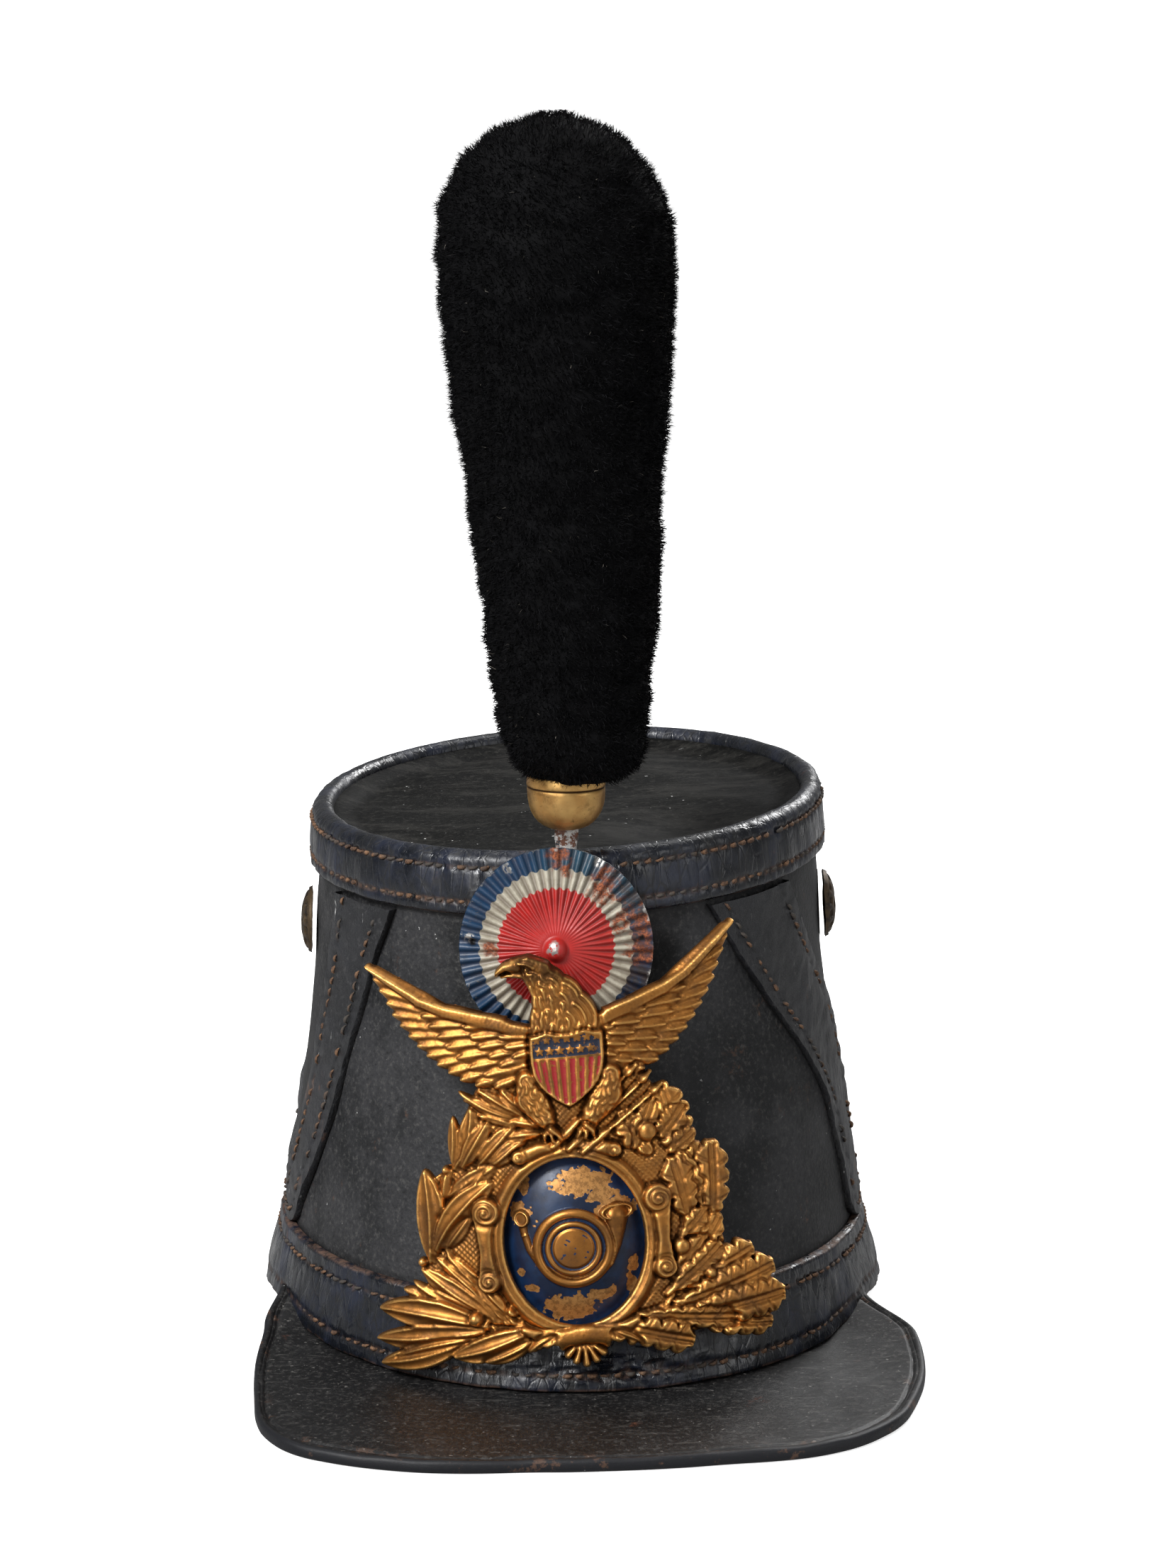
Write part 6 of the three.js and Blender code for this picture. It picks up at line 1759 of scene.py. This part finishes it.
def make_cup():
    """Turned brass cup, a little dented, with a seam under its lip."""
    low, high = (in_hat(corner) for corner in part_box("plume_cup"))
    foot = [(low[0] + high[0]) / 2, (low[1] + high[1]) / 2, low[2]]
    half = (high[0] - low[0]) / 2 * CUP_WIDENED
    tall = (high[2] - low[2]) * CUP_HEIGHTENED
    points, faces = turned([(half * r, tall * z) for r, z in CUP_PROFILE], 96, foot)
    points = points + unit(points - foot) * (wobble(points, 6, 81) * 0.1)[..., None]
    points[..., 2] = np.clip(points[..., 2], low[2], low[2] + tall) + CUP_RAISED
    height = (points[..., 2] - low[2] - CUP_RAISED) / tall
    seam = ridge(height - CUP_SEAM, 0.04)
    piece("brass_plume_cup", points, faces, OLD_BRASS, ["plume_cup"],
          {"hollow": seam, "crest": 0 * seam}, crease=0)


def make_stem():
    """Flat tin holder behind the cockade, its paint chipped to white and rust."""
    low, high = (in_hat(corner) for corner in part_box("plume_stem"))
    slope = math.tan(math.radians(front_lean() - STEM_UPRIGHT))
    thick = (high[1] - low[1]) - (high[2] - low[2]) * slope
    levels = np.linspace(0, 1 + (CUP_RAISED + 1) / (high[2] - low[2]), 64)
    ring = np.radians(np.arange(0, 360, 15))
    level, turn = np.meshgrid(levels, ring, indexing="ij")
    half = (high[0] - low[0]) / 2 * mix(1.0, 0.86, hill(level - 0.93, 0.08))
    x = (low[0] + high[0]) / 2 + half * squarish(np.cos(turn), 0.4)
    z = mix(low[2], high[2], level)
    y = low[1] + thick / 2 + (z - low[2]) * slope + thick / 2 * squarish(np.sin(turn), 0.55)
    points = np.stack([x, y, z], -1)
    points += (wobble(points, 5, 82) * 0.12)[..., None] * [1, 1, 0]
    faces = grid_faces(len(levels), len(ring), False, True)
    end = np.arange(len(ring))
    caps = np.array([end[::-1], end + (len(levels) - 1) * len(ring)])
    piece("tin_plume_holder", points, [faces, caps], OLD_TIN, ["plume_stem"], crease=40)


def old_tin(start):
    """Bright worn tin with rust and remains of dark paint."""
    fine, patch = start.noise(0.9, 5, 0.7), start.noise(3.5, 5, 0.75)
    base = fine.step(0.4, 0.65).blend(colour(150, 148, 146), colour(186, 184, 180))
    base = patch.step(0.5, 0.56).blend(base, colour(88, 52, 34))
    base = start.noise(2.2, 4, 0.7).step(0.56, 0.62).blend(base, colour(38, 36, 38))
    return principled(start, base_color=base, metallic=0.15, roughness=0.5 + fine * 0.2,
                      normal=start.bump(0.6, 0.3, patch, start.bump(0.4, 0.15, fine)))


def old_brass(start):
    """Rubbed brass, lighter than the plate, with grime and dark spots."""
    gilt, roughness, fine = gilded(start)
    grime = start.noise(5, 5, 0.7).step(0.5, 0.66)
    rubbed = 0.45 * start.noise(9, 3).step(0.3, 0.6) + 0.25
    base = rubbed.blend(gilt, colour(224, 184, 116))
    base = (grime * 0.4).blend(base, colour(110, 80, 46))
    base = (fine.step(0.6, 0.68) * 0.6).blend(base, colour(60, 42, 26))
    base = start.mark("hollow").step(0.2, 0.9).blend(base, colour(60, 40, 22))
    return principled(start, base_color=base, metallic=0.95, roughness=roughness - 0.02,
                      normal=start.bump(0.3, 0.15, fine))


# Vents: domed metal discs with holes, high on the sides
VENT_TURNS = {"left": -86.0, "right": 88.0}
VENT_HOLE_RINGS = [(0.0, 1), (0.42, 6), (0.74, 12)]


def make_vent(side):
    """Domed cap with a rolled flange and round holes, its back seated on the body."""
    turn = VENT_TURNS[side]
    foot = body_point(turn, VENT_HEIGHT)
    up = unit(body_point(turn, VENT_HEIGHT + 1) - foot)
    out = unit(np.cross(body_point(turn + 0.5, VENT_HEIGHT) - foot, up))
    out = out * np.sign(np.dot(out, foot * [1, 1, 0]))
    across = np.cross(up, out)
    start = foot + out * (VENT_DOME * 0.2 + 3 * CLEARANCE)
    reach = np.concatenate([np.linspace(0, 0.88, 44), np.linspace(0.9, 1.0, 8)])
    turns = np.radians(np.arange(0, 360, 6))
    angle, share = np.meshgrid(turns, reach, indexing="ij")
    dome = (VENT_DOME * 0.8) * np.sqrt(np.clip(1 - (share / 0.9) ** 2, 0, 1)) ** 0.8
    flange = 0.55 * smooth((1.0 - share) / 0.05) + 0.45 * ridge(share - 0.93, 0.04)
    height = np.maximum(dome, flange)
    u, v = share * np.cos(angle) * VENT_RADIUS, share * np.sin(angle) * VENT_RADIUS
    # Holes, pressed in here and darkened in the finish as painted shade
    dark = np.zeros(share.shape)
    for ring, count in VENT_HOLE_RINGS:
        for n in range(count):
            swing = 2 * math.pi * (n + 0.5 * (count == 12)) / count
            away = np.hypot(u - ring * VENT_RADIUS * math.cos(swing),
                            v - ring * VENT_RADIUS * math.sin(swing))
            dark = np.maximum(dark, smooth((0.95 - away) / 0.3))
    height = height - 1.2 * dark + wobble(np.stack([u, v, 0 * u], -1), 5, 83) * 0.12
    middle = start + u[..., None] * across + v[..., None] * up
    seat = VENT_DOME * 0.2 + 2 * CLEARANCE + u ** 2 / (1.05 * RIM_LENGTH)
    points, faces = two_sheets(middle + height[..., None] * out, middle - seat[..., None] * out,
                               grid_faces(len(turns), len(reach), True)[:, ::-1])
    piece(f"vent_cap_{side}", points, faces, VENT_METAL, [f"vent_{side}"],
          {"hole": np.stack([dark, 0 * dark])}, crease=60)


def vent_metal(start):
    """Brown blackened metal, with painted shade in its holes."""
    fine, patch = start.noise(0.8, 4, 0.7), start.noise(3, 5, 0.7)
    base = patch.step(0.38, 0.66).blend(colour(78, 62, 42), colour(40, 33, 27))
    base = (fine.step(0.58, 0.7) * 0.4).blend(base, colour(128, 112, 84))
    # Painted shade in the holes
    base = start.mark("hole").blend(base, SOOT_AND_SHADE_BLACK)
    return principled(start, base_color=base, metallic=0.6, roughness=0.45 + patch * 0.2,
                      normal=start.bump(0.5, 0.2, patch, start.bump(0.3, 0.1, fine)))


# Plume: a lumpy core under short curled wool
PLUME_OUTLINE_AT = [0, 0.008, 0.02, 0.06, 0.114, 0.177, 0.24, 0.303, 0.366, 0.43, 0.49, 0.555,
                    0.62, 0.68, 0.744, 0.81, 0.87, 0.934, 0.97, 0.99, 1]
PLUME_OUTLINE = [0.36, 0.48, 0.57, 0.64, 0.665, 0.71, 0.75, 0.78, 0.81, 0.825, 0.855, 0.905,
                 0.95, 0.97, 0.995, 0.995, 0.955, 0.79, 0.58, 0.34, 0.02]
PLUME_BEND_AT = [0, 0.02, 0.06, 0.12, 0.3, 0.37, 0.49, 0.56, 0.81, 0.93, 1]
PLUME_BEND = [3.0, 2.8, 2.0, 1.4, 1.2, 0, -0.5, -1.5, -2.4, -3.0, -3.0]
WOOL_LENGTH = 2.3
WOOL_STRANDS = 44000
WOOL_PIECES = 2


class Plume:
    """Core of the plume in the hat's millimetres, inside its packed box."""

    def __init__(self):
        self.low, self.high = (in_hat(corner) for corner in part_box("plume"))
        cup_low, cup_high = (in_hat(corner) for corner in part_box("plume_cup"))
        self.foot = np.array([(cup_low[0] + cup_high[0]) / 2, (cup_low[1] + cup_high[1]) / 2,
                              cup_high[2] + CUP_RAISED + 0.6])
        self.half = (self.high[1] - self.low[1]) / 2
        self.tall = self.high[2] - self.foot[2]

    def point(self, share, turn, proud=0.0):
        """Point of the plume's outline at a share of its height."""
        half = eased(share, PLUME_OUTLINE_AT, PLUME_OUTLINE, 0.012) * self.half
        lean = eased(share, PLUME_BEND_AT, PLUME_BEND, 0.04)
        x = self.foot[0] + lean + (half + proud) * np.cos(turn)
        y = self.foot[1] + (half + proud) * np.sin(turn)
        return np.stack([x, y, self.foot[2] + self.tall * share], -1)

    def lumps(self, points):
        """Tufts, and faint rows where the wool is wound round the core."""
        tufts = wobble(points, 7, 91, 20) * 0.55 + wobble(points, 22, 92) * 0.3
        return tufts + wobble(points * [0.5, 0.5, 1.6], 8, 93) * 0.3

    def surface(self, share, turn, depth=0.0):
        """Skin of the core, under the wool."""
        bare = self.point(share, turn)
        return self.point(share, turn, self.lumps(bare) - WOOL_LENGTH * 0.75 - depth)


def make_core(plume):
    """Lumpy core, carried down into the cup."""
    levels, turns = np.linspace(0.0, 0.997, 120), np.radians(np.arange(0, 360, 4))
    level, turn = np.meshgrid(levels, turns, indexing="ij")
    points = plume.surface(level, turn)
    stalk = plume.foot + np.stack([4.6 * np.cos(turns), 4.6 * np.sin(turns), 0 * turns - 2.4], -1)
    points = np.concatenate([stalk[None], points])
    piece("plume_core", points, grid_faces(len(levels) + 1, len(turns), False, True), WOOL,
          ["plume"], crease=0)


def make_wool(plume):
    """Short curled strands over the core, with a few strays."""
    rng = np.random.default_rng(94)
    for part in range(WOOL_PIECES):
        share = rng.random(WOOL_STRANDS * 3)
        width = np.interp(share, PLUME_OUTLINE_AT, PLUME_OUTLINE)
        ends = 0.25 * np.exp(-((1 - share) / 0.03)) + 0.1
        share = share[rng.random(len(share)) < width * 0.9 + ends][:WOOL_STRANDS]
        turn = rng.uniform(0, 2 * math.pi, len(share))
        root = plume.surface(share, turn, 0.3)
        out = unit(root - plume.surface(share, turn, 1.3))
        slope = unit(plume.surface(np.minimum(share + 0.01, 1), turn)
                     - plume.surface(np.maximum(share - 0.01, 0), turn))
        out = unit(out - 0.75 * (out * slope).sum(1, keepdims=True) * slope
                   + np.array([0, 0, 1.0]) * (0.9 * smooth((share - 0.9) / 0.1))[:, None])
        length = WOOL_LENGTH * rng.uniform(0.55, 1.25, len(share))
        stray = rng.random(len(share)) < 0.012
        length = np.where(stray, length * rng.uniform(1.2, 1.9, len(share)), length)
        lean = rng.normal(size=(len(share), 3)) * 0.42
        curl = rng.normal(size=(len(share), 3)) * 0.55
        way = unit(out + lean)
        middle = root + way * (length * 0.55)[:, None]
        tip = middle + unit(way + curl) * (length * 0.5)[:, None]
        side = unit(np.cross(way, rng.normal(size=(len(share), 3))))
        side = side * np.where(stray, 0.05, 0.12)[:, None]
        strand = [root - side, root + side, middle - side * 0.8, middle + side * 0.8, tip]
        strand = np.minimum(np.stack(strand, 1), plume.high + 1.2)
        base = np.arange(len(share))[:, None] * 5
        quads, tips = base + [0, 1, 3, 2], base + [2, 3, 4]
        tone = np.repeat(rng.random(len(share)), 5)
        piece(f"plume_wool_{part + 1}", strand.reshape(-1, 3), [quads, tips], WOOL,
              marks={"tone": tone}, crease=0)


def black_wool(start):
    """Dull black, a little lighter in some strands and grey in very few."""
    tone = start.mark("tone")
    clump = start.noise(5, 4, 0.6)
    base = tone.step(0.5, 1.0).blend(colour(4, 4, 5), colour(17, 17, 19))
    base = (clump.step(0.5, 0.7) * 0.4).blend(base, colour(15, 15, 17))
    base = tone.step(0.997, 0.999).blend(base, colour(90, 86, 80))
    return principled(start, base_color=base, roughness=0.8, specular_ior_level=0.1)


COCKADE_PAINT = finish("cockade_paint", cockade_paint)
OLD_TIN = finish("old_tin", old_tin)
OLD_BRASS = finish("old_brass", old_brass)
VENT_METAL = finish("vent_metal", vent_metal)
WOOL = finish("black_wool", black_wool)

make_cockade()
make_cup()
make_stem()
for side in VENT_TURNS:
    make_vent(side)
plume = Plume()
make_core(plume)
make_wool(plume)
